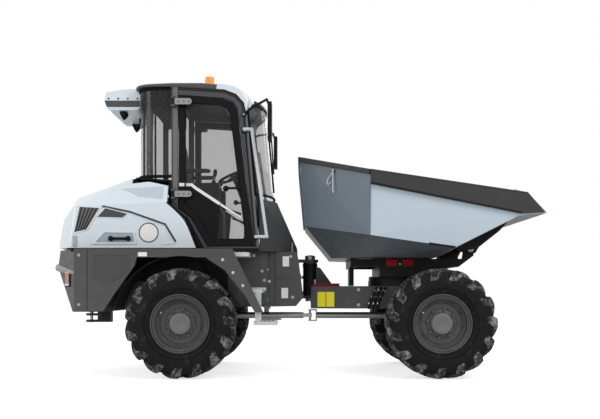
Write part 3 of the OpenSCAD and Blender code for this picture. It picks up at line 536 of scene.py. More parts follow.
def cushion(name, place, size, tilt, body, look, crown, seam=0.52):
    """Upholstered pad: round corners, sides drawn in, crowned top and sewn channels along its length."""
    hx, hy, hz = (v / 2 for v in size)
    turn = Matrix.Rotation(tilt, 3, "Y")
    power = 5.0
    bm = bmesh.new()
    bmesh.ops.create_cube(bm, size=2.0)
    bmesh.ops.subdivide_edges(bm, edges=bm.edges[:], cuts=17, use_grid_fill=True)
    for v in bm.verts:
        u, w, h = v.co
        length = (abs(u) ** power + abs(w) ** power + abs(h) ** power) ** (1 / power)
        big = max(abs(u), abs(w), abs(h))
        u, w, h = u * big / length, w * big / length, h * big / length
        x = hx * u * (1 - 0.03 * (1 - w * w) * abs(u))
        y = hy * w * (1 - 0.04 * (1 - u * u) * abs(w))
        z = hz * h
        if h > 0:
            z += crown * (1 - u * u) * (1 - w * w) * h - crown * 0.5 * h
            z += crown * 0.6 * h * max(0.0, abs(w) - 0.55) ** 1.2
            z -= 0.011 * h * math.exp(-((abs(w) - seam) / 0.045) ** 2)
            if abs(w) < seam:
                z -= 0.008 * h * math.exp(-((u + 0.15) / 0.05) ** 2)
        v.co = Vector(place) + turn @ Vector((x, y, z))
    mesh = bpy.data.meshes.new(name)
    bm.to_mesh(mesh)
    bm.free()
    ob = finish_mesh(name, mesh, body, look, angle=60)
    sub = ob.modifiers.new("soft", "SUBSURF")
    sub.levels = sub.render_levels = 1
    return ob


def drape(name, corners, s, targets, body, look, lift=0.0025, nu=16, nv=8):
    """Thin panel laid over CAD faces; its corners are seen square from one side."""
    trees = []
    for node in targets:
        o = nodes[node]
        points = [o.matrix_world @ v.co for v in o.data.vertices]
        trees.append(BVHTree.FromPolygons(points, [tuple(f.vertices) for f in o.data.polygons]))
    a, b, c, d = (Vector(q) for q in corners)
    top, low = [], []
    for j in range(nv + 1):
        for i in range(nu + 1):
            q = a.lerp(b, i / nu).lerp(d.lerp(c, i / nu), j / nv)
            hits = [t.ray_cast(Vector((q.x, s * 1.5, q.y)), Vector((0, -s, 0))) for t in trees]
            place, normal = max((h[:2] for h in hits if h[0] is not None), key=lambda h: s * h[0].y)
            normal = normal if normal.y * s > 0 else -normal
            top.append(place + normal * lift)
            low.append(place - normal * 0.002)
    n, w = len(top), nu + 1
    faces = []
    for k in (j * w + i for j in range(nv) for i in range(nu)):
        faces += [(k, k + 1, k + 1 + w, k + w), (n + k, n + k + w, n + k + 1 + w, n + k + 1)]
    rim = list(range(w)) + [j * w + nu for j in range(1, nv + 1)]
    rim += [nv * w + i for i in range(nu - 1, -1, -1)] + [j * w for j in range(nv - 1, 0, -1)]
    faces += [(k, n + k, n + m, m) for k, m in zip(rim, rim[1:] + rim[:1])]
    solid(name, top + low, faces, body, look, angle=50)


def cad_look(node, look, bevel, segments=2):
    """A CAD node that stays: better material and softened edges."""
    o = nodes[node]
    o.data.materials.clear()
    o.data.materials.append(LOOKS[look][1])
    if bevel:
        soften(o, bevel, segments)


# Camera, light and floor

def studio():
    scene = bpy.context.scene
    scene.view_settings.view_transform = "Standard"
    cam = bpy.data.cameras.new("camera")
    cam.lens = 50
    cam.sensor_width = 36
    cam.shift_x = -0.0033
    cam.shift_y = 0.141
    camera = bpy.data.objects.new("camera", cam)
    camera.location = (0.067, -9.1, 0.823)
    camera.rotation_euler = (math.radians(90), 0, 0)
    scene.collection.objects.link(camera)
    scene.camera = camera

    # White where the camera, gloss or glass sees it, and half of that as light on the object
    world = bpy.data.worlds.new("studio")
    scene.world = world
    world.use_nodes = True
    t = world.node_tree
    path = add(t, "LightPath").outputs
    seen = path["Is Camera Ray"]
    for other in ("Is Glossy Ray", "Is Transmission Ray"):
        seen = maths(t, "MAXIMUM", seen, path[other])
    level = add(t, "MapRange", To_Min=0.5, To_Max=1.0, Value=seen).outputs["Result"]
    give(t, t.nodes["Background"], Color=(1, 1, 1), Strength=level)

    for name, place, aim, size, power in (
            ("key", (4.5, -6.0, 6.0), (0, 0, 1.2), (4.0, 4.0), 235),
            ("fill", (-6.5, -4.5, 3.5), (0, 0, 1.2), (4.0, 3.0), 140),
            ("top", (0, 0.5, 7.5), (0, 0, 0), (6.0, 4.0), 138),
            ("back", (1.0, 7.0, 4.5), (0, 0, 1.4), (6.0, 3.0), 150)):
        lamp = bpy.data.lights.new(name, "AREA")
        lamp.shape = "RECTANGLE"
        lamp.size, lamp.size_y = size
        lamp.energy = power
        ob = bpy.data.objects.new(name, lamp)
        ob.location = place
        ob.rotation_euler = (Vector(aim) - Vector(place)).to_track_quat("-Z", "Y").to_euler()
        scene.collection.objects.link(ob)

    m, t, s = new_material("floor")
    glow = maths(t, "MULTIPLY", add(t, "LightPath").outputs["Is Camera Ray"], 0.66)
    give(t, s, Base_Color=(0.82, 0.82, 0.82), Roughness=0.9, Specular_IOR_Level=0.0, Emission_Color=(1, 1, 1),
         Emission_Strength=glow)
    half = 60.0
    mesh = bpy.data.meshes.new("floor")
    mesh.from_pydata([(-half, -half, 0), (half, -half, 0), (half, half, 0), (-half, half, 0)], [],
                     [(0, 1, 2, 3)])
    mesh.materials.append(m)
    floor = bpy.data.objects.new("floor", mesh)
    scene.collection.objects.link(floor)


studio()


# Wheels

def tyre(name, x, s, body, node):
    """Tyre with long bar lugs that run from the side wall over the shoulder to the crown."""
    half, crown, base = 0.2025, 0.5375, 0.503
    profile = [(0.262, 0.15), (0.268, 0.166), (0.292, 0.172), (0.31, 0.18), (0.33, 0.193), (0.352, 0.2),
               (0.38, half), (0.41, 0.2015), (0.44, 0.198), (0.465, 0.193), (0.484, 0.184), (0.495, 0.168),
               (0.5, 0.14), (base, 0.09), (base + 0.001, 0.045), (base + 0.002, 0.0)]
    profile += [(r, -w) for r, w in profile[-2::-1]]
    # Path of a lug: place across the tread, radius of its top and its foot, sweep and half width
    path = [(0.2015, 0.448, 0.425, -0.205, 0.022), (half, 0.47, 0.43, -0.195, 0.03),
            (half, 0.5, 0.455, -0.175, 0.034), (0.196, 0.522, 0.47, -0.15, 0.033),
            (0.17, 0.5315, 0.49, -0.1, 0.03), (0.12, 0.5355, 0.498, -0.03, 0.027),
            (0.06, 0.537, 0.5, 0.045, 0.026), (0.0, crown, 0.5, 0.11, 0.026),
            (-0.026, crown - 0.001, 0.5, 0.135, 0.024)]
    steps, lugs, edge = 112, 15, 0.004
    verts = []

    def put(r, w, a):
        verts.append((x + r * math.sin(a), s * (WHEEL_Y + w), AXLE_Z + r * math.cos(a)))
        return len(verts) - 1

    for i in range(steps):
        for r, w in profile:
            put(r, w, 2 * math.pi * i / steps)
    faces = ring_faces(steps, len(profile))
    plain = len(faces)
    for half_side, offset in ((1, 0.0), (-1, 0.5)):
        for i in range(lugs):
            rings = []
            for across, top, foot, sweep, hw in path:
                a = 2 * math.pi * (i + offset) / lugs + sweep
                d, e = hw / top, (hw + 0.008) / foot
                rings.append([put(r, across * half_side, a + turn) for r, turn in (
                    (foot, -e), (top - edge, -d), (top, -d * 0.82), (top, d * 0.82), (top - edge, d),
                    (foot, e))])
            faces += [(p[j], p[j + 1], q[j + 1], q[j]) for p, q in zip(rings, rings[1:]) for j in range(5)]
            faces += [tuple(rings[0]), tuple(rings[-1])]
    mesh = clean_mesh(name, verts, faces)
    mesh.polygons.foreach_set("material_index", [0] * plain + [1] * (len(mesh.polygons) - plain))
    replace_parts(finish_mesh(name, mesh, body, ("tyre", "lug"), angle=40), node)
    # Rim guard and side wall ribs
    for k, (r, w, t) in enumerate(((0.3, 0.176, 0.004), (0.335, 0.1965, 0.003), (0.345, 0.199, 0.003))):
        rib = [(r - t, w - 0.004), (r - t * 0.5, w + t), (r + t * 0.5, w + t), (r + t, w - 0.004)]
        turned(f"{name}_rib{k}", rib, (x, s * WHEEL_Y, AXLE_Z), (0, s, 0), body, "tyre", steps=96)


for axle_x, end in ((RA, "rear"), (FA, "front")):
    for side, hand in SIDES:
        wheel = f"wheel_{end}_{hand}"
        tyre(f"tyre_{end}_{hand}_lugged", axle_x, side, wheel, f"tyre_{end}_{hand}")
        cad_look(f"rim_{end}_{hand}", "rim", 0.004, 3)


# CAD nodes that keep their shape

for names, look, width in (
    (("rear_frame", "front_frame", "cab_frame"), "frame", 0.006),
    (("counterweight", "side_panel_right", "side_panel_left"), "dark", 0.01),
    (("tow_hitch", "rear_axle", "front_axle", "slew_frame", "slew_bearing", "skip_underframe", "cab_tub"),
     "black", 0.004),
    (("battery_block",), "plastic", 0.01),
    (("kingpin", "propshaft_rear", "propshaft_front"), "steel", 0.003),
    (("front_cowl",), "cowl", 0.012),
    (("roof_unit", "hood", "hood_side_right", "hood_side_left"), "light", 0.008),
    (("mirrors", "dashboard", "seat_base"), "plastic", 0.006),
    (("steering_wheel",), "plastic", 0.0),
    (("rear_lamps",), "red_lens", 0.003),
    (("windshield", "rear_glass", "door_glass_right", "door_glass_left"), "glass", 0.0),
    (("door_right", "door_left"), "door", 0.006),
    (("handrails", "steps"), "light_steel", 0.003),
    (("lock_bar",), "red", 0.004),
    (("skip_shell",), "skip", 0.004),
    (("skip_rails",), "rail", 0.006),
    (("steer_barrel", "tip_barrel"), "black", 0.003),
    (("steer_rod", "tip_rod"), "chrome", 0.002),
):
    for node in names:
        cad_look(node, look, width)


# Hood

def hood_details():
    y = HOOD_Y
    grille = [(-2.15, 1.694), (-1.948, 1.682), (-2.08, 1.468), (-2.205, 1.438)]
    panel = [(-1.893, 1.68), (-1.672, 1.624), (-1.724, 1.585), (-1.975, 1.592)]
    crease = [(-1.925, 1.699), (-1.648, 1.643), (-1.3, 1.52), (-1.192, 1.345)]
    lip = [(-1.64, 1.622), (-1.308, 1.504), (-1.206, 1.332), (-1.32, 1.318)]
    latch = [(-2.037, 1.318), (-1.908, 1.455), (-1.602, 1.45), (-1.579, 1.318)]
    shoulder = [(-1.752, 1.884), (-1.322, 1.905), (-1.322, 1.772), (-1.566, 1.801)]
    edge = [(-1.288, 1.738), (-1.188, 1.66), (-1.103, 1.58), (-0.992, 1.292)]
    knob = [(0, 0), (0.026, 0), (0.027, 0.01), (0.024, 0.022), (0.014, 0.028), (0, 0.029)]
    slats, ribs = 5, 34
    for s, hand in SIDES:
        out = (0, s, 0)
        sheets = side_sheets(s, hand, y, "hood", (
            ("hood_mesh", grille, -0.002, 0.003, "grille", 0),
            ("hood_badge_panel", panel, -0.002, 0.004, "cowl", 0.002),
            # Dark band along the crease: painted shade of the shadow gap there
            ("hood_crease", band(crease, 0.021), -0.002, 0.0025, "cowl", 0.001),
            ("hood_crease_lip", band(lip, 0.012), -0.002, 0.006, "light", 0.003),
            # Latch pocket darker than the hood: painted shade of a recess
            ("hood_latch_pocket", inset(latch, 0.01), -0.002, 0.0015, "light_shade", 0)))
        for part, outline, w, high, bevel in (
                ("mesh_frame", inset(grille, -0.012), 0.014, 0.007, 0.003),
                ("badge_frame", inset(panel, -0.007), 0.008, 0.006, 0.002),
                ("latch_rim", latch, 0.02, 0.008, 0.004)):
            border(f"hood_{part}_{hand}", outline, w, s * (y - 0.001), s * (y + high), "hood", "light",
                   bevel=bevel)
        for k in range(slats):
            f = (k + 0.6) / (slats + 0.4)
            a = Vector(grille[0]).lerp(Vector(grille[1]), f)
            b = Vector(grille[3]).lerp(Vector(grille[2]), f)
            prism(f"hood_slat_{hand}_{k}", band([a, b], 0.008), s * (y + 0.002), s * (y + 0.0065), "hood",
                  "plastic", bevel=0.001)
        grip = [(x, s * (y + 0.016), 1.377) for x in (-1.832, -1.672)]
        bar = rod(f"hood_latch_bar_{hand}", grip, 0.013, "hood", "plastic")
        if s < 0:
            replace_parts(sheets[0], "hood_grilles")
            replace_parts(bar, "hood_latches")
        for k, x in enumerate((-1.838, -1.666)):
            turned(f"hood_latch_end_{hand}_{k}", knob, (x, s * (y - 0.001), 1.377), out, "hood", "plastic",
                   steps=28)
        for part, r, high, look in (("disc_ring", 0.099, 0.0, "door"), ("disc", 0.089, 0.0012, "white")):
            turned(f"hood_{part}_{hand}", disc(r, 0.0012), (-1.462, s * (y + high), 1.436), out, "hood", look,
                   steps=56)
        # Raised corner block in the darker copy of the hood paint: painted shade
        box(f"hood_corner_block_{hand}", (-2.222, s * (y - 0.004), 1.296), (-2.178, s * (y + 0.01), 1.408),
            "hood", "light_shade", bevel=0.006)
        # Sheet laid on the shoulder in a darker tone: painted shade of the scoop
        drape(f"hood_shoulder_{hand}", shoulder, s, ("hood", f"hood_side_{hand}"), "hood", "light_mid")
        # Ribbed seal along the front edge
        path = [(x + 0.004, s * 0.781, z) for x, z in edge]
        rod(f"hood_seal_{hand}", path, 0.011, "hood", "seal", bend=0.04)
        line = bent(path, 0.04)
        total = sum((b - a).length for a, b in zip(line, line[1:]))
        for k in range(ribs):
            d = total * (k + 0.5) / ribs
            for a, b in zip(line, line[1:]):
                if d <= (b - a).length:
                    turned(f"hood_seal_rib_{hand}_{k}",
                           [(0.01, -0.003), (0.0135, -0.002), (0.0135, 0.002), (0.01, 0.003)],
                           a.lerp(b, d / (b - a).length), (b - a).normalized(), "hood", "seal", steps=12)
                    break
                d -= (b - a).length

    def rear(z):
        """Rear face of the hood at height z."""
        return REAR_X + 0.03 + 0.04 * (z - 1.345) / 0.235

    low, high = 1.375, 1.555
    for k, (half, margin, out, look, bevel) in enumerate((
            (0.46, 0.018, 0.008, "light", 0.003), (0.44, 0.0, 0.0095, "grille", 0.0))):
        z0, z1 = low - margin, high + margin
        corners = ((-half, z0), (-half, z1), (half, z1), (half, z0))
        loft(f"hood_rear_panel_{k}", [[(rear(z) - d, v, z) for v, z in corners] for d in (-0.004, out)],
             "hood", look, bevel=bevel, smooth=False)
    for k in range(6):
        z = low + 0.015 + k * 0.03
        rod(f"hood_rear_slat_{k}", [(rear(z) - 0.012, v, z) for v in (-0.435, 0.435)], 0.005, "hood",
            "plastic")


# Rear body

CORNER = math.atan2(0.43, 0.29)


def chamfer(s, u, v, z):
    """Point on the rear corner face: u along it, v out of it."""
    c, d = math.cos(CORNER), math.sin(CORNER)
    return (REAR_X + u * c - v * d, s * (0.56 + u * d + v * c), z)


def rear_details():
    y = PANEL_Y
    pocket = [(-1.953, 1.212), (-1.604, 1.212), (-1.604, 1.06), (-1.779, 0.929), (-1.953, 0.987)]
    bolts = ((-0.7, 1.155), (-0.6, 1.03), (-0.505, 0.905), (-2.09, 1.2), (-2.09, 0.72))
    for s, hand in SIDES:
        side_sheets(s, hand, y, "rear", (
            ("panel_pocket", inset(pocket, 0.008), -0.002, 0.001, "cowl", 0),
            ("panel_seam", band([(-2.01, 1.262), (-2.01, 0.655)], 0.005), -0.002, 0.0012, "black", 0)))
        border(f"panel_pocket_rim_{hand}", pocket, 0.014, s * (y - 0.002), s * (y + 0.005), "rear", "dark",
               bevel=0.003)
        side_decal(f"panel_sticker_{hand}", s, y, (-1.518, 1.188), (-1.432, 1.228), "rear", "white")
        side_bolts(f"panel_bolt_{hand}", s, y, bolts, 0.011, "rear", pale=3)
        # Liner of the wheel arch
        rings = []
        for i in range(33):
            a = math.radians(-78 + 138 * i / 32)
            rings.append([(RA + r * math.sin(a), s * v, AXLE_Z + r * math.cos(a)) for r, v in (
                (0.657, 0.56), (0.657, 0.989), (0.668, 0.989), (0.668, 0.56))])
        loft(f"arch_liner_{hand}", rings, "rear", "plastic", angle=30)
        # Lamp cluster on the rear corner
        for part, u0, u1, z0, z1, v0, v1, look, bevel in (
                (f"bezel_{hand}", 0.235, 0.385, 0.895, 1.065, 0.0, 0.01, "plastic", 0.004),
                (f"part_{hand}_0", 0.25, 0.37, 0.905, 0.928, 0.009, 0.017, "clear_lens", 0.003),
                (f"part_{hand}_1", 0.25, 0.37, 1.033, 1.056, 0.009, 0.017, "amber", 0.003)):
            corners = ((u0, z0), (u1, z0), (u1, z1), (u0, z1))
            loft(f"rear_lamp_{part}", [[chamfer(s, u, v, z) for u, z in corners] for v in (v0, v1)], "rear",
                 look, bevel=bevel)
        # Moulded ledge round the rear corner, in a paler grey that is a painted highlight
        rings = []
        for u, t, h in ((-0.002, 0.03, 0.034), (0.1, 0.03, 0.034), (0.25, 0.026, 0.03), (0.4, 0.014, 0.022),
                        (0.505, 0.002, 0.012)):
            z = 1.094 - 0.1 * max(0.0, u) * 1.3
            rings.append([chamfer(s, u, v, z + up) for v, up in (
                (-0.01, -h), (t * 0.55, -h), (t, -h * 0.1), (t * 0.5, h * 0.9), (-0.01, h))])
        loft(f"rear_ledge_{hand}", rings, "rear", "bumper", bevel=0.003)
        box(f"rear_step_pad_{hand}", (-2.13, s * 0.8, 1.2642), (-1.3, s * 1.03, 1.2672), "rear", "plastic",
            bevel=0.001)
    ledge = [(0.012, 1.06), (-0.022, 1.07), (-0.028, 1.09), (-0.014, 1.124), (0.012, 1.128)]
    # Middle of the ledge, in the same painted highlight grey
    prism("rear_ledge_middle", [(REAR_X + x, z) for x, z in ledge], -0.575, 0.575, "rear", "bumper",
          bevel=0.004)
    # Blank number plate and its lamp under the ledge
    slope = 0.246 / 0.448
    for k, (z0, z1, w, out, look) in enumerate((
            (0.86, 1.02, 0.29, 0.008, "plastic"), (0.875, 1.005, 0.26, 0.0105, "white"))):
        corners = ((-w, z0), (w, z0), (w, z1), (-w, z1))
        rings = [[(REAR_X + (1.098 - z) * slope - d * 0.877, v, z - d * 0.48) for v, z in corners]
                 for d in (-0.004, out)]
        loft(f"rear_plate_{k}", rings, "rear", look, bevel=0.002, smooth=False)
    box("rear_plate_lamp", (REAR_X + 0.005, -0.07, 1.03), (REAR_X + 0.045, 0.07, 1.052), "rear", "plastic",
        bevel=0.005)
    pin = [(0, 0), (0.0155, 0), (0.0155, 0.105), (0.028, 0.107), (0.028, 0.122), (0.022, 0.128), (0, 0.128)]
    turned("tow_pin", pin, (REAR_X + 0.2, 0, 0.516), UP, "rear", "steel", steps=28)


# Cab

GLASS_LEAN = math.atan2(0.123, 1.35)


def screen(v, h, out=0.0):
    """Point on the windshield at y = v and height h along the glass, out of its face."""
    r = 1.23 + out
    x = -1.01 + r * math.cos(math.asin(v / r))
    c, d = math.cos(GLASS_LEAN), math.sin(GLASS_LEAN)
    return (-0.402 + x * c - h * d, v, 1.29 + x * d + h * c)


def screen_details():
    """Seals, posts and header round the windshield, and its wiper."""
    low, high = 0.545, 1.478
    across = [-0.63 + 1.26 * i / 16 for i in range(17)]
    for k, h in enumerate((low, high)):
        tube(f"screen_seal_{k}", [screen(v, h, -0.002) for v in across], 0.013, "rear", "seal",
             smooth_path=False)
    for s, hand in SIDES:
        rod(f"screen_post_{hand}", [screen(s * 0.628, h, -0.002) for h in (low, high)], 0.015, "rear", "seal")
    rings = []
    for i in range(25):
        a = math.radians(-28.5 + 57 * i / 24)
        rings.append([(-1.542 + r * math.cos(a), r * math.sin(a), z) for r, z in (
            (1.12, 2.786), (1.236, 2.786), (1.24, 2.8), (1.232, 2.816), (1.12, 2.816))])
    loft("screen_header", rings, "rear", "door", angle=40)
    tip = screen(-0.16, 0.8, 0.03)
    arm = [screen(-0.13, 1.452, 0.004), screen(-0.13, 1.44, 0.035), screen(-0.15, 1.1, 0.036), tip]
    rod("wiper_arm", arm, 0.008, "rear", "plastic", bend=0.02)
    rod("wiper_blade", [screen(-0.165, h, 0.014) for h in (1.3, 0.6)], 0.01, "rear", "seal")
    rod("wiper_link", [tip, screen(-0.165, 0.95, 0.016)], 0.006, "rear", "plastic")


def roof_details():
    """Dark roof skin with rounded rear corners and ribs, and the pale cap over its front edge."""
    rings = []
    for x, half in ((-1.645, 0.47), (-1.641, 0.52), (-1.63, 0.56), (-1.61, 0.595), (-1.58, 0.625),
                    (-1.535, 0.648), (-1.48, 0.661), (-1.4, 0.664), (-1.25, 0.664), (-1.1, 0.664),
                    (-0.95, 0.664), (-0.85, 0.664), (-0.79, 0.662)):
        low = 2.926 - 0.03 * max(0.0, (x + 1.17) / 0.449)
        top = 2.951 + 0.017 * min(1.0, (x + 1.645) / 0.4) - 0.012 * max(0.0, (x + 0.95) / 0.16)
        skin = [(half, low), (half, top - 0.02), (half - 0.006, top - 0.009), (half - 0.02, top - 0.002),
                (half - 0.06, top), (0.2, top + 0.002)]
        rings.append([(x, v, z) for v, z in skin] + [(x, -v, z) for v, z in skin[::-1]])
    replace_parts(loft("roof_skin", rings, "rear", "dark", angle=50), "cab_roof")
    for k in range(5):
        v = -0.44 + 0.22 * k
        box(f"roof_rib_{k}", (-1.56, v - 0.028, 2.96), (-1.02, v + 0.028, 2.9745), "rear", "dark",
            bevel=0.005)
    outer = [(-0.8, 2.962), (-0.74, 2.958), (-0.68, 2.948), (-0.62, 2.932), (-0.565, 2.906), (-0.52, 2.872),
             (-0.485, 2.834), (-0.467, 2.8), (-0.468, 2.768), (-0.478, 2.735), (-0.492, 2.69)]
    under = [(-0.499, 2.668), (-0.52, 2.762), (-0.6, 2.851), (-0.72, 2.896), (-0.8, 2.902)]
    stations = [-0.664, -0.66, -0.65, -0.635, -0.6, -0.55, -0.5, -0.44, -0.36, -0.25, -0.12, 0.0]
    rings = []
    for v in stations + [-q for q in stations[-2::-1]]:
        e = min(1.0, (0.666 - abs(v)) / 0.04)
        e = 0.92 + 0.08 * math.sqrt(1 - (1 - e) ** 2)
        m = max(0.0, min(1.0, (0.63 - abs(v)) / 0.13))
        floor_z = 2.668 + 0.15 * m * m * (3 - 2 * m)
        bow = 0.12 * (1 - (v / 0.66) ** 2)
        ring = []
        for x, z in outer:
            w = max(0.0, min(1.0, (x + 0.78) / 0.26))
            ring.append((-0.64 + (x + 0.64) * e + bow * w, v, max(floor_z, 2.8 + (z - 2.8) * e)))
        rings.append(ring + [(x, v, max(floor_z, z)) for x, z in under])
    loft("roof_cap", rings, "rear", "light", angle=50)


def cab_trim():
    """Trim along the edge of the roof and on the posts."""
    # Points of the edge, and how far each trim line moves along x and z there
    edge = [(-0.5, 2.66, 0.75, 0.1), (-0.523, 2.757, 0.75, 0.1), (-0.602, 2.846, 0.35, 0.7),
            (-0.72, 2.89, 0.0, 0.7), (-1.17, 2.918, 0.0, 0.7), (-1.24, 2.918, 0.0, 0.7)]
    post = [(-1.238, 1.765), (-1.192, 1.735), (-1.192, 2.917), (-1.238, 2.917)]
    corner = [(-1.283, 1.7), (-1.252, 1.69), (-1.252, 1.965), (-1.283, 1.955)]
    for s, hand in SIDES:
        for k, (d, w) in enumerate(((-0.008, 0.01), (-0.032, 0.008))):
            line = [(x + d * along, z + d * up) for x, z, along, up in edge]
            prism(f"roof_trim_{hand}_{k}", band(line, w), s * 0.658, s * 0.6655, "rear", "plastic",
                  bevel=0.002)
        side_sheets(s, hand, 0, "rear", (
            ("post_trim", post, 0.6595, 0.667, "post", 0.003),
            ("front_post_trim", band([(-0.378, 1.3), (-0.497, 2.64)], 0.02), 0.6595, 0.668, "post", 0.003),
            ("front_post_seal", band([(-0.404, 1.3), (-0.523, 2.64)], 0.01), 0.6595, 0.665, "seal", 0.002),
            ("cab_corner_seal", corner, 0.645, 0.668, "seal", 0.004)))


def rear_window_details():
    """Seals of the rear glass, the air unit behind it and the rear wiper."""
    path = [(-1.258, -0.634)]
    for degrees in range(-110, -181, -10):
        a = math.radians(degrees)
        path.append((-1.41 + 0.203 * math.cos(a), -0.43 + 0.203 * math.sin(a)))
    path += [(x, -v) for x, v in path[::-1]]
    low, high = 2.02, 2.912
    for k, (z, r) in enumerate(((low, 0.017), (high, 0.013))):
        tube(f"rear_glass_seal_{k}", [(x, v, z) for x, v in path], r, "rear", "seal", smooth_path=False)
    for s, hand in SIDES:
        rod(f"rear_glass_post_{hand}", [(-1.592, s * 0.335, z) for z in (low, high)], 0.012, "rear", "seal")
        for k in range(9):
            x = -1.48 + k * 0.024
            box(f"air_unit_fin_{hand}_{k}", (x, s * 0.56, 2.735), (x + 0.01, s * 0.596, 2.9), "rear",
                "plastic",
                bevel=0.002)
    box("air_unit", (-1.49, -0.562, 2.73), (-1.27, 0.562, 2.905), "rear", "plastic", bevel=0.01)
    rod("rear_wiper_arm", [(-1.622, 0.05, 2.86), (-1.632, 0.05, 2.5)], 0.007, "rear", "plastic")
    box("rear_wiper_blade", (-1.632, 0.035, 2.16), (-1.62, 0.06, 2.62), "rear", "seal", bevel=0.003)
    hub = [(0, -0.014), (0.022, -0.014), (0.022, 0.02), (0.014, 0.028), (0, 0.028)]
    turned("rear_wiper_hub", hub, (-1.616, 0.05, 2.86), (-1, 0, 0), "rear", "plastic", steps=24)
    rest = [(-1.647, 1.925), (-1.606, 1.925), (-1.606, 1.996), (-1.622, 1.999), (-1.647, 1.982)]
    prism("hood_rest_seal", rest, -0.64, 0.64, "rear", "seal", bevel=0.004)


def mirror_details():
    """Glass and clamps of the mirrors, and feet of the handrails."""
    clamp = [(0.013, -0.022), (0.022, -0.02), (0.022, 0.02), (0.013, 0.022)]
    foot = [(0.015, 0), (0.034, 0), (0.034, 0.006), (0.022, 0.014), (0.015, 0.014)]
    for s, hand in SIDES:
        y0, y1 = sorted((s * 0.822, s * 0.978))
        for k, (z0, z1) in enumerate(((2.345, 2.44), (2.455, 2.686))):
            box(f"mirror_glass_{hand}_{k}", (-0.2712, y0, z0), (-0.2676, y1, z1), "rear", "mirror",
                bevel=0.0015)
        turned(f"mirror_clamp_{hand}", clamp, (-0.2495, s * 0.899, 2.668), UP, "rear", "plastic", steps=20)
        for k, (x, z) in enumerate(((-0.512, 2.48), (-0.396, 1.4))):
            turned(f"handrail_foot_{hand}_{k}", foot, (x, s * 0.6602, z), (0, s, 0), "rear", "plastic",
                   steps=28)
        bolt(f"mirror_foot_bolt_{hand}", (-0.52, s * 0.685, 2.64), (0, s, 0), 0.009, "rear")


def roof_unit_details():
    """Tray, work lamps and camera of the unit behind the roof, and the beacon."""
    tray = [(-1.617, 2.768), (-1.966, 2.768), (-1.99, 2.838), (-1.617, 2.838)]
    prism("roof_unit_tray", tray, -0.433, 0.433, "rear", "dark", bevel=0.006)
    floor = [(-1.63, 2.738), (-1.93, 2.738), (-1.958, 2.7675), (-1.63, 2.7675)]
    prism("roof_unit_floor", floor, -0.424, 0.424, "rear", "light", bevel=0.006)
    shell = [(0, -0.05), (0.022, -0.05), (0.034, -0.038), (0.048, -0.005), (0.05, 0.02), (0.046, 0.022),
             (0.044, 0.014), (0, 0.013)]
    pane = [(0, 0.019), (0.03, 0.018), (0.0445, 0.014), (0.0445, 0.01), (0, 0.01)]
    yoke = ((-0.052, 0), (-0.052, 0.034), (0.052, 0.034), (0.052, 0))
    aim = (-0.9, 0, -0.44)
    for s, hand in SIDES:
        for k in range(4):
            bolt(f"roof_unit_bolt_{hand}_{k}", (-1.645 - k * 0.1, s * 0.43, 2.856), (0, s, 0), 0.007, "rear",
                 "black")
        c = Vector((-1.812, s * 0.33, 2.705))
        lamp = turned(f"work_lamp_{hand}", shell, c, aim, "rear", "plastic", steps=36)
        if s < 0:
            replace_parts(lamp, "work_lamps")
        turned(f"work_lamp_lens_{hand}", pane, c, aim, "rear", "clear_lens", steps=36)
        rod(f"work_lamp_bracket_{hand}", [c + Vector((0.01, v, z)) for v, z in yoke], 0.006, "rear", "black",
            bend=0.012)
    rod("rear_camera_arm", [(-1.7, 0.0, 2.74), (-1.7, 0.0, 2.68)], 0.012, "rear", "plastic")
    housing = [(0, -0.03), (0.026, -0.03), (0.03, -0.024), (0.03, 0.03), (0.024, 0.034), (0.02, 0.026),
               (0, 0.026)]
    turned("rear_camera", housing, (-1.705, 0, 2.655), (-0.92, 0, -0.39), "rear", "plastic", steps=28)
    c = (RA + 0.22, -0.43, 2.9661)
    base = [(0, 0), (0.064, 0), (0.064, 0.012), (0.056, 0.018), (0.052, 0.032), (0, 0.032)]
    turned("beacon_base", base, c, UP, "rear", "plastic", steps=40)
    dome = [(0, 0.03), (0.0535, 0.03), (0.0535, 0.04), (0.051, 0.046), (0.0515, 0.075), (0.049, 0.1),
            (0.042, 0.113), (0.025, 0.1185), (0, 0.1195)]
    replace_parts(turned("beacon_dome", dome, c, UP, "rear", "amber", steps=40), "beacon")


# Doors

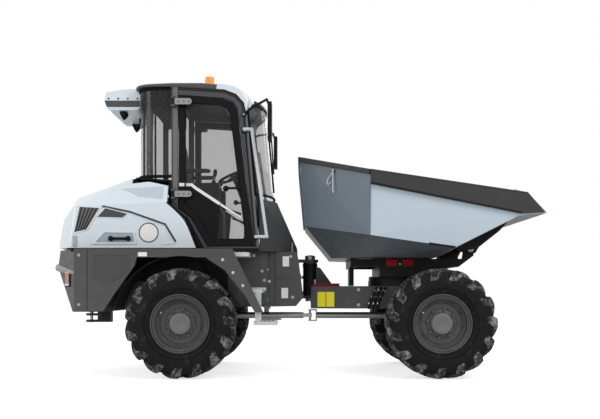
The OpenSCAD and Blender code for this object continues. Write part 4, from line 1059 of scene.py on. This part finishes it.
def door_details():
    panel = [(-1.112, 1.928), (-1.046, 1.928), (-0.76, 1.748), (-0.79, 1.378), (-0.846, 1.378),
             (-1.008, 1.648),
             (-1.112, 1.73)]
    pocket = [(-0.985, 1.62), (-0.83, 1.62), (-0.812, 1.395), (-0.85, 1.395)]
    window = [(-1.12, 2.77), (-0.76, 2.745), (-0.69, 2.715), (-0.655, 2.66), (-0.495, 1.375), (-0.848, 1.375),
              (-1.01, 1.645), (-1.12, 1.735)]
    stripes = (
        ([(-1.176, 1.916), (-1.118, 1.916), (-1.118, 1.948), (-1.176, 1.948)], 0.6598, 0.661),
        (band([(-1.112, 1.932), (-1.052, 1.932), (-1.008, 1.896), (-0.765, 1.737)], 0.03), 0.6472, 0.6484),
        ([(-0.772, 1.757), (-0.758, 1.718), (-0.532, 1.584), (-0.528, 1.59)], 0.6438, 0.645))
    handle = ((-0.705, 0.6442), (-0.705, 0.69), (-0.56, 0.69), (-0.56, 0.6442))
    rose = [(0.0, 0), (0.03, 0), (0.03, 0.006), (0.02, 0.011), (0.0, 0.011)]
    grip = ((-0.735, 0.636, 1.7), (-0.735, 0.6, 1.7), (-0.56, 0.6, 1.64), (-0.56, 0.636, 1.64))
    for s, hand in SIDES:
        body, out = f"door_{hand}", (0, s, 0)
        prism(f"door_panel_{hand}", panel, s * 0.6442, s * 0.6475, body, "door", bevel=0.001)
        border(f"door_pocket_{hand}", pocket, 0.012, s * 0.632, s * 0.636, body, "grey_plastic", bevel=0.001)
        for k, (outline, y0, y1) in enumerate(stripes):
            prism(f"door_stripe_{hand}_{k}", outline, s * y0, s * y1, body, "white", smooth=False)
        border(f"door_seal_{hand}", inset(window, -0.004), 0.014, s * 0.644, s * 0.663, body, "seal",
               bevel=0.002)
        for k, z in enumerate((1.83, 2.76)):
            prism(f"door_strap_{hand}_{k}", pill(-1.246, -1.04, z, 0.031), s * 0.7275, s * 0.7335, body,
                  "strap",
                  bevel=0.002)
            for j, x in enumerate((-1.175, -1.12, -1.07)):
                turned(f"door_strap_rivet_{hand}_{k}_{j}", [(0, 0), (0.01, 0), (0.009, 0.003), (0, 0.0045)],
                       (x, s * 0.7335, z), out, body, "post", steps=16)
        rod(f"door_handle_{hand}", [(x, s * y, 1.893) for x, y in handle], 0.012, body, "plastic", bend=0.022)
        for k, x in enumerate((-0.705, -0.56)):
            turned(f"door_handle_rose_{hand}_{k}", rose, (x, s * 0.6438, 1.893), out, body, "plastic",
                   steps=28)
        rod(f"door_inner_bar_{hand}", [(x, s * y, z) for x, y, z in grip], 0.011, body, "plastic", bend=0.02)


# Seat and controls

def seat_details():
    seat = cushion("seat_pad", (-1.035, 0, 1.897), (0.405, 0.47, 0.1), math.radians(-3), "rear", "cloth",
                   0.016)
    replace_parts(seat, "seat_cushion")
    lean = math.radians(-8)
    up = Vector((math.sin(lean), 0, math.cos(lean)))
    centre = Vector((-1.23, 0, 1.9705)) + up * 0.25 + Vector((0.045, 0, 0))
    back = cushion("seat_back_pad", centre, (0.53, 0.45, 0.09), math.radians(90) + lean, "rear", "cloth",
                   0.014)
    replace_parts(back, "seat_back")
    rest = [(-1.235, 2.105), (-1.235, 2.14), (-1.225, 2.15), (-0.93, 2.15), (-0.905, 2.14), (-0.9, 2.125),
            (-0.915, 2.11)]
    boot = [(0.03, 0), (0.026, 0.008), (0.027, 0.012), (0.018, 0.022), (0.019, 0.026), (0.009, 0.036)]
    knob = [(0, -0.04), (0.016, -0.038), (0.021, -0.01), (0.02, 0.024), (0.014, 0.04), (0, 0.045)]
    pedal = [(-0.59, 1.335), (-0.578, 1.33), (-0.545, 1.44), (-0.557, 1.445)]
    lever_way = (0.14, 0, 0.99)
    for s, hand in SIDES:
        prism(f"armrest_{hand}", rest, s * 0.242, s * 0.29, "rear", "cloth", bevel=0.01,
                        segments=4)
        box(f"side_console_{hand}", (-1.14, s * 0.275, 1.742), (-0.8, s * 0.42, 1.985), "rear", "plastic",
            bevel=0.014)
        turned(f"lever_boot_{hand}", boot, (-0.862, s * 0.345, 1.984), lever_way, "rear", "seal", steps=24)
        turned(f"lever_knob_{hand}", knob, (-0.846, s * 0.345, 2.092), lever_way, "rear", "plastic", steps=28)
        prism(f"pedal_{hand}", pedal, s * 0.055, s * 0.135, "rear", "plastic", bevel=0.003)
        for part, points, r, look in (
                ("armrest_post", ((-1.205, 0.262, 2.02), (-1.205, 0.262, 2.115)), 0.013, "plastic"),
                ("lever", ((-0.862, 0.345, 1.98), (-0.85, 0.345, 2.065)), 0.008, "steel"),
                ("belt", ((-1.2, 0.238, 1.86), (-1.195, 0.246, 1.93), (-1.17, 0.243, 1.99)), 0.01, "seal"),
                ("stalk", ((-0.64, 0.03, 2.065), (-0.668, 0.15, 2.08)), 0.008, "plastic"),
                ("pedal_arm", ((-0.566, 0.095, 1.385), (-0.52, 0.095, 1.4)), 0.009, "black")):
            rod(f"{part}_{hand}", [(x, s * y, z) for x, y, z in points], r, "rear", look)
    box("belt_buckle", (-1.185, -0.262, 1.985), (-1.15, -0.24, 2.04), "rear", "red", bevel=0.004)
    pod = [(-0.56, 1.8), (-0.43, 1.79), (-0.455, 1.96), (-0.53, 2.0), (-0.585, 1.96)]
    prism("instrument_pod", pod, -0.165, 0.165, "rear", "plastic", bevel=0.012)
    face = ((-0.5865, -0.135, 1.905), (-0.5865, 0.135, 1.905), (-0.5925, 0.135, 1.955),
            (-0.5925, -0.135, 1.955))
    loft("instrument_face", [[(x + d, y, z) for x, y, z in face] for d in (0.01, -0.001)], "rear", "door",
         smooth=False)
    rod("display_arm", [(-0.47, -0.28, 1.79), (-0.48, -0.3, 1.97)], 0.011, "rear", "plastic")
    box("display", (-0.512, -0.4, 1.96), (-0.484, -0.215, 2.085), "rear", "plastic", bevel=0.006)
    box("display_glass", (-0.5135, -0.39, 1.97), (-0.511, -0.225, 2.075), "rear", "door", bevel=0.001)
    column = Vector((-0.375, 0, 0.927))
    boss = [(0, 0.0), (0.044, 0.0), (0.044, 0.006), (0.03, 0.016), (0, 0.018)]
    turned("wheel_boss", boss, Vector((-0.6651, 0, 2.1103)) + column * 0.024, column, "rear", "grey_plastic",
           steps=32)
    box("cab_mat", (-0.9, -0.6, 1.2902), (-0.575, 0.6, 1.2972), "rear", "seal", bevel=0.002)


# Chassis

def rear_frame_details():
    """Side plates, inner wings, hitch tower and steps."""
    y = TOWER_Y
    plate = [(-0.7, 1.27), (-0.29, 1.27), (-0.29, 0.74), (-0.38, 0.7), (-0.56, 0.7), (-0.7, 0.86)]
    wing = [(-1.56, 1.27), (-0.704, 1.27), (-0.704, 0.865), (-0.86, 0.93), (-1.11, 0.97), (-1.4, 0.93),
            (-1.56, 0.86)]
    plate_bolts = ((-0.345, 1.06), (-0.322, 0.965), (-0.64, 1.22), (-0.43, 1.22))
    tower_bolts = ((-0.3, 1.08), (-0.275, 0.955), (-0.315, 1.2), (-0.3, 0.76), (-0.05, 1.215), (-0.03, 0.79))
    stickers = (((-0.135, 1.112), (-0.068, 1.218)), ((-0.148, 0.78), (-0.078, 0.888)))
    steps = ((-0.7, -0.45, 0.7, 0.99, 1.23), (-0.49, -0.32, 0.4, 0.99, 0.87),
             (-0.405, -0.18, 0.6, 1.0, 0.555))
    for s, hand in SIDES:
        side_sheets(s, hand, 0, "rear", (
            ("chassis_side", plate, 0.486, 0.5, "dark", 0.004),
            ("inner_wing", wing, 0.486, 0.494, "black", 0.003)))
        side_sheets(s, hand, y, "rear", (
            # Black line along the tower's fold: painted shade at the crease
            ("tower_fold", band([(-0.216, 1.262), (-0.216, 0.71)], 0.006), -0.002, 0.002, "black", 0),
            ("tower_rib", band([(-0.215, 0.985), (-0.01, 0.985)], 0.012), -0.002, 0.006, "frame", 0.003)))
        rod(f"side_step_bar_{hand}", [(x, s * 0.56, 0.872) for x in (-0.5, -0.3)], 0.019, "rear",
            "light_steel")
        for k, x in enumerate((-0.47, -0.33)):
            rod(f"side_step_stub_{hand}_{k}", [(x, s * v, 0.872) for v in (0.498, 0.56)], 0.012, "rear",
                "light_steel")
        side_bolts(f"chassis_side_bolt_{hand}", s, 0.5, plate_bolts, 0.012, "rear")
        side_bolts(f"tower_bolt_{hand}", s, y, tower_bolts, 0.012, "rear", pale=2)
        for k, (low, high) in enumerate(stickers):
            side_decal(f"tower_sticker_{hand}_{k}", s, y, low, high, "rear", "white")
        for k, (x0, x1, y0, y1, z) in enumerate(steps):
            for j in range(5):
                x = x0 + 0.016 + (x1 - x0 - 0.032) * j / 5
                box(f"step_tread_{hand}_{k}_{j}", (x, s * (y0 + 0.015), z - 0.001),
                    (x + 0.018, s * (y1 - 0.012), z + 0.005), "rear", "steel", bevel=0.002)
    rod("level_rod", [(-0.035, -0.392, 1.262), (-0.035, -0.392, 1.36)], 0.006, "rear", "steel")
    for k in range(6):
        a = math.pi / 3 * k
        bolt(f"kingpin_bolt_{k}", (PIVOT + 0.038 * math.cos(a), 0.038 * math.sin(a), 1.238), UP, 0.008,
             "rear")
    cap = [(0, 0), (0.024, 0), (0.022, 0.008), (0, 0.01)]
    turned("kingpin_cap", cap, (PIVOT, 0, 1.238), UP, "rear", "black", steps=32)


def front_frame_details():
    """Stickers, bolts and hydraulic lines of the front frame, its lock bar and the hitch sleeve."""
    frame_bolts = ((0.66, 0.87), (0.66, 0.71), (0.86, 0.87), (1.2, 0.87), (1.62, 0.87), (1.62, 0.71))
    # Route of a clamped line, from its first place along x
    route = ((0.05, 0.34, 0.89), (0.045, 0.395, 0.88), (0.015, 0.42, 0.82), (-0.02, 0.418, 0.74),
             (-0.03, 0.395, 0.69), (-0.028, 0.33, 0.676))
    clip = [(0.0125, -0.01), (0.0175, -0.009), (0.0175, 0.009), (0.0125, 0.01)]
    for s, hand in SIDES:
        # The frame's sides slant where they carry the blank stickers
        for k in range(2):
            x0 = 0.232 + k * 0.092
            x1 = x0 + 0.084
            corners = [(x, s * (0.25 + (x - 0.163) / 0.442 * 0.11 + 0.0002), z)
                       for x, z in ((x0, 0.69), (x1, 0.69), (x1, 0.846), (x0, 0.846))]
            decal(f"frame_sticker_{hand}_{k}", corners, (-0.11, s * 0.442, 0), "front", "yellow")
        side_bolts(f"frame_bolt_{hand}", s, 0.36, frame_bolts, 0.013, "front")
        for k in range(3):
            x = 0.8 + 0.045 * k
            tube(f"frame_line_{hand}_{k}", [(x + d, s * y, z) for d, y, z in route], 0.013, "front", "seal")
            for j, (y, z) in enumerate(((0.408, 0.852), (0.418, 0.79), (0.408, 0.725))):
                turned(f"frame_line_clip_{hand}_{k}_{j}", clip, (x + 0.032 - 0.047 * j / 2 * 1.3, s * y, z),
                       (0.35, 0, 0.94), "front", "steel", steps=18)
    box("lock_bar_base", (0.176, -0.252, 0.9072), (0.476, -0.182, 0.9112), "front", "black", bevel=0.002)
    pin = [(0, 0), (0.014, 0), (0.014, 0.03), (0.02, 0.032), (0.02, 0.04), (0, 0.042)]
    turned("lock_bar_pin", pin, (0.205, -0.215, 0.936), UP, "front", "steel", steps=24)
    sleeve = [(0.0752, 0.812), (0.08, 0.816), (0.08, 0.85), (0.0765, 0.856), (0.0765, 1.11), (0.08, 1.116),
              (0.08, 1.15), (0.0752, 1.154)]
    turned("hitch_sleeve", sleeve, (PIVOT, 0, 0), UP, "front", "black")


def slew_details():
    """Red plates, buttons and pin caps of the skip beam, and the bolts of the slew bearing."""
    button = [(0, 0), (0.012, 0), (0.012, 0.006), (0.008, 0.012), (0, 0.013)]
    cap = [(0, 0), (0.034, 0), (0.034, 0.008), (0.028, 0.013), (0, 0.013)]
    for s, hand in SIDES:
        out = (0, s, 0)
        for k, (x0, x1) in enumerate(((0.938, 1.06), (1.108, 1.228))):
            box(f"beam_plate_{hand}_{k}", (x0, s * 0.459, 1.112), (x1, s * 0.467, 1.184), "slew", "red",
                bevel=0.003)
        turned(f"beam_button_{hand}", button, (1.084, s * 0.46, 1.135), out, "slew", "yellow", steps=24)
        turned(f"tip_pin_cap_{hand}", cap, (TIP, s * 0.52, 1.292), out, "slew", "light_steel", steps=32)
        bolt(f"tip_pin_bolt_{hand}", (TIP, s * 0.532, 1.292), out, 0.012, "slew")
    count = 28
    for k in range(count):
        a = 2 * math.pi * k / count
        bolt(f"bearing_bolt_{k}", (SLEW + 0.318 * math.cos(a), 0.318 * math.sin(a), 1.0053), UP, 0.01, "slew")


# Skip

def skip_details():
    beam = [(1.62, 1.288), (2.15, 1.566), (2.05, 1.474), (1.8, 1.276), (1.7, 1.262)]
    closing = [(1.83, 1.3), (1.845, 1.292), (2.06, 1.462), (2.15, 1.563), (2.138, 1.566), (2.046, 1.474)]
    prism("skip_slope_closing", closing, -0.699, 0.699, "skip", "black", bevel=0.003)
    # Folded rim round the back: its corners, the way out at each, and its section out and up
    section = ((0.0004, -0.046), (0.014, -0.046), (0.018, -0.04), (0.018, 0.002), (0.013, 0.007),
               (-0.013, 0.007), (-0.0135, 0.0004), (0.0004, 0.0004))
    rings = []
    for corner, out in (((0.729, -1.05, 2.026), (-0.659, -0.752, 0)),
                        ((0.044, -0.45, 2.24), (-1.0, -0.461, 0)),
                        ((0.044, 0.45, 2.24), (-1.0, 0.461, 0)), ((0.729, 1.05, 2.026), (-0.659, 0.752, 0))):
        rings.append([Vector(corner) + Vector(out) * a + Vector((0, 0, b)) for a, b in section])
    loft("skip_rim", rings, "skip", "rail", bevel=0.002)
    eye = [(0, -0.014), (0.016, -0.014), (0.016, 0.006), (0.01, 0.01), (0, 0.01)]
    for s, hand in SIDES:
        side_sheets(s, hand, RAIL_Y, "skip", (
            ("skip_rail_lip", band([(0.735, 1.896), (2.178, 1.608)], 0.016), -0.002, 0.004, "black", 0.002),
            ("skip_rail_head", band([(0.735, 2.022), (2.236, 1.798)], 0.014), -0.002, 0.004, "rail", 0.003),
            ("skip_rail_end", band([(0.738, 2.02), (0.738, 1.896)], 0.018), -0.002, 0.004, "rail", 0.003)))
        side_sheets(s, hand, 0, "skip", (
            ("skip_slope_beam", beam, 0.7, 0.73, "black", 0.004),
            ("skip_side_rib", band([(1.3, 1.3165), (1.562, 1.279)], 0.02), 0.985, 1.0005, "black", 0.003)))

        def at(t, z, out=0.016):
            """Point on the corner panel: t along it, out of its face."""
            return Vector((0.044 + 0.685 * t - 0.659 * out, s * (0.45 + 0.6 * t + 0.752 * out), z))

        # Wire hook on the corner panel
        stay = [at(0.5, 2.06, -0.002), at(0.5, 2.06), at(0.5, 1.845), at(0.5, 1.845, -0.012)]
        rod(f"skip_hook_stay_{hand}", stay, 0.006, "skip", "light_steel", bend=0.01)
        hook = [at(0.5, 2.052), at(0.415, 1.962), at(0.425, 1.925), at(0.455, 1.93), at(0.465, 1.955)]
        rod(f"skip_hook_{hand}", hook, 0.005, "skip", "light_steel", bend=0.02)
        turned(f"skip_hook_eye_{hand}", eye, at(0.5, 2.06), (-0.659, s * 0.752, 0), "skip", "steel", steps=20)
        # Weld bead at the fold of the side
        rod(f"skip_weld_{hand}", [(0.73, s * 1.0495, 1.885), (0.73, s * 1.006, 1.402)], 0.004, "skip", "skip")
    rod("skip_lip_edge", [(2.427, -1.046, 1.613), (2.427, 1.046, 1.613)], 0.009, "skip", "steel")
    rib = [(0.046, 2.19), (0.026, 2.17), (0.082, 1.545), (0.105, 1.535)]
    for k, v in enumerate((-0.26, 0.0, 0.26)):
        prism(f"skip_back_rib_{k}", rib, v - 0.02, v + 0.02, "skip", "skip", bevel=0.004)


# Rims

def rim_details(x, end, s, hand):
    """Beads, rings of painted shade and painted highlight, hub, holes painted as shade and valve of one
    wheel.
    """
    body, wheel = f"wheel_{end}_{hand}", f"{end}_{hand}"
    c, way = (x, s * WHEEL_Y, AXLE_Z), (0, s, 0)
    beads = ((0.279, 0.1745, 0.008, 0.006), (0.262, 0.166, 0.006, 0.004), (0.234, 0.1225, 0.006, 0.005))
    for k, (r, h, w, t) in enumerate(beads):
        bead = [(r - w, h - 0.004), (r - w * 0.6, h + t * 0.8), (r, h + t), (r + w * 0.6, h + t * 0.8),
                (r + w, h - 0.004)]
        turned(f"rim_bead_{wheel}_{k}", bead, c, way, body, "rim", steps=72)
    # Thin flat rings: the black ones are painted shade in the rim's steps and grooves, the pale strap one a
    # painted highlight line on the flange
    for k, (r0, r1, h, rise, look) in enumerate((
            (0.2655, 0.2705, 0.1716, 0.001, "black"), (0.2835, 0.2858, 0.1752, 0.001, "strap"),
            (0.246, 0.251, 0.1672, 0.001, "black"), (0.196, 0.203, 0.0921, 0.0, "black"),
            (0.146, 0.15, 0.0921, 0.0, "black"))):
        painted_line = [(r0, h - 0.002), (r0, h), (r1, h + rise), (r1, h - 0.002)]
        turned(f"rim_painted_line_{wheel}_{k}", painted_line, c, way, body, look, steps=72)
    plate = [(0, 0.1415), (0.098, 0.1415), (0.099, 0.1445), (0.092, 0.1475), (0.06, 0.1478), (0.056, 0.146),
             (0, 0.146)]
    turned(f"hub_plate_{wheel}", plate, c, way, body, "post", steps=56)
    flange = [(0.1125, 0.091), (0.136, 0.0915), (0.134, 0.1), (0.1125, 0.106)]
    turned(f"hub_flange_{wheel}", flange, c, way, body, "rim", steps=56)

    def around(degrees, r, out):
        a = math.radians(degrees)
        return Vector((r * math.cos(a), s * out, r * math.sin(a)))

    # Black discs for the disc's holes: painted shade standing in for them
    for k in range(8):
        turned(f"rim_hole_{wheel}_{k}", disc(0.009, 0.0012), Vector(c) + around(45 * k + 32, 0.212, 0.0915),
               way,
               body, "black", steps=18)
    foot = Vector(c) + around(150, 0.222, 0.1)
    rod(f"valve_{wheel}", [foot, foot + around(150, -0.012, 0.055)], 0.006, body, "light_steel")


for make in (hood_details, rear_details, screen_details, roof_details, cab_trim, rear_window_details,
             mirror_details, roof_unit_details, door_details, seat_details, rear_frame_details,
             front_frame_details, slew_details, skip_details):
    make()
for axle_x, end in ((RA, "rear"), (FA, "front")):
    for side, hand in SIDES:
        rim_details(axle_x, end, side, hand)
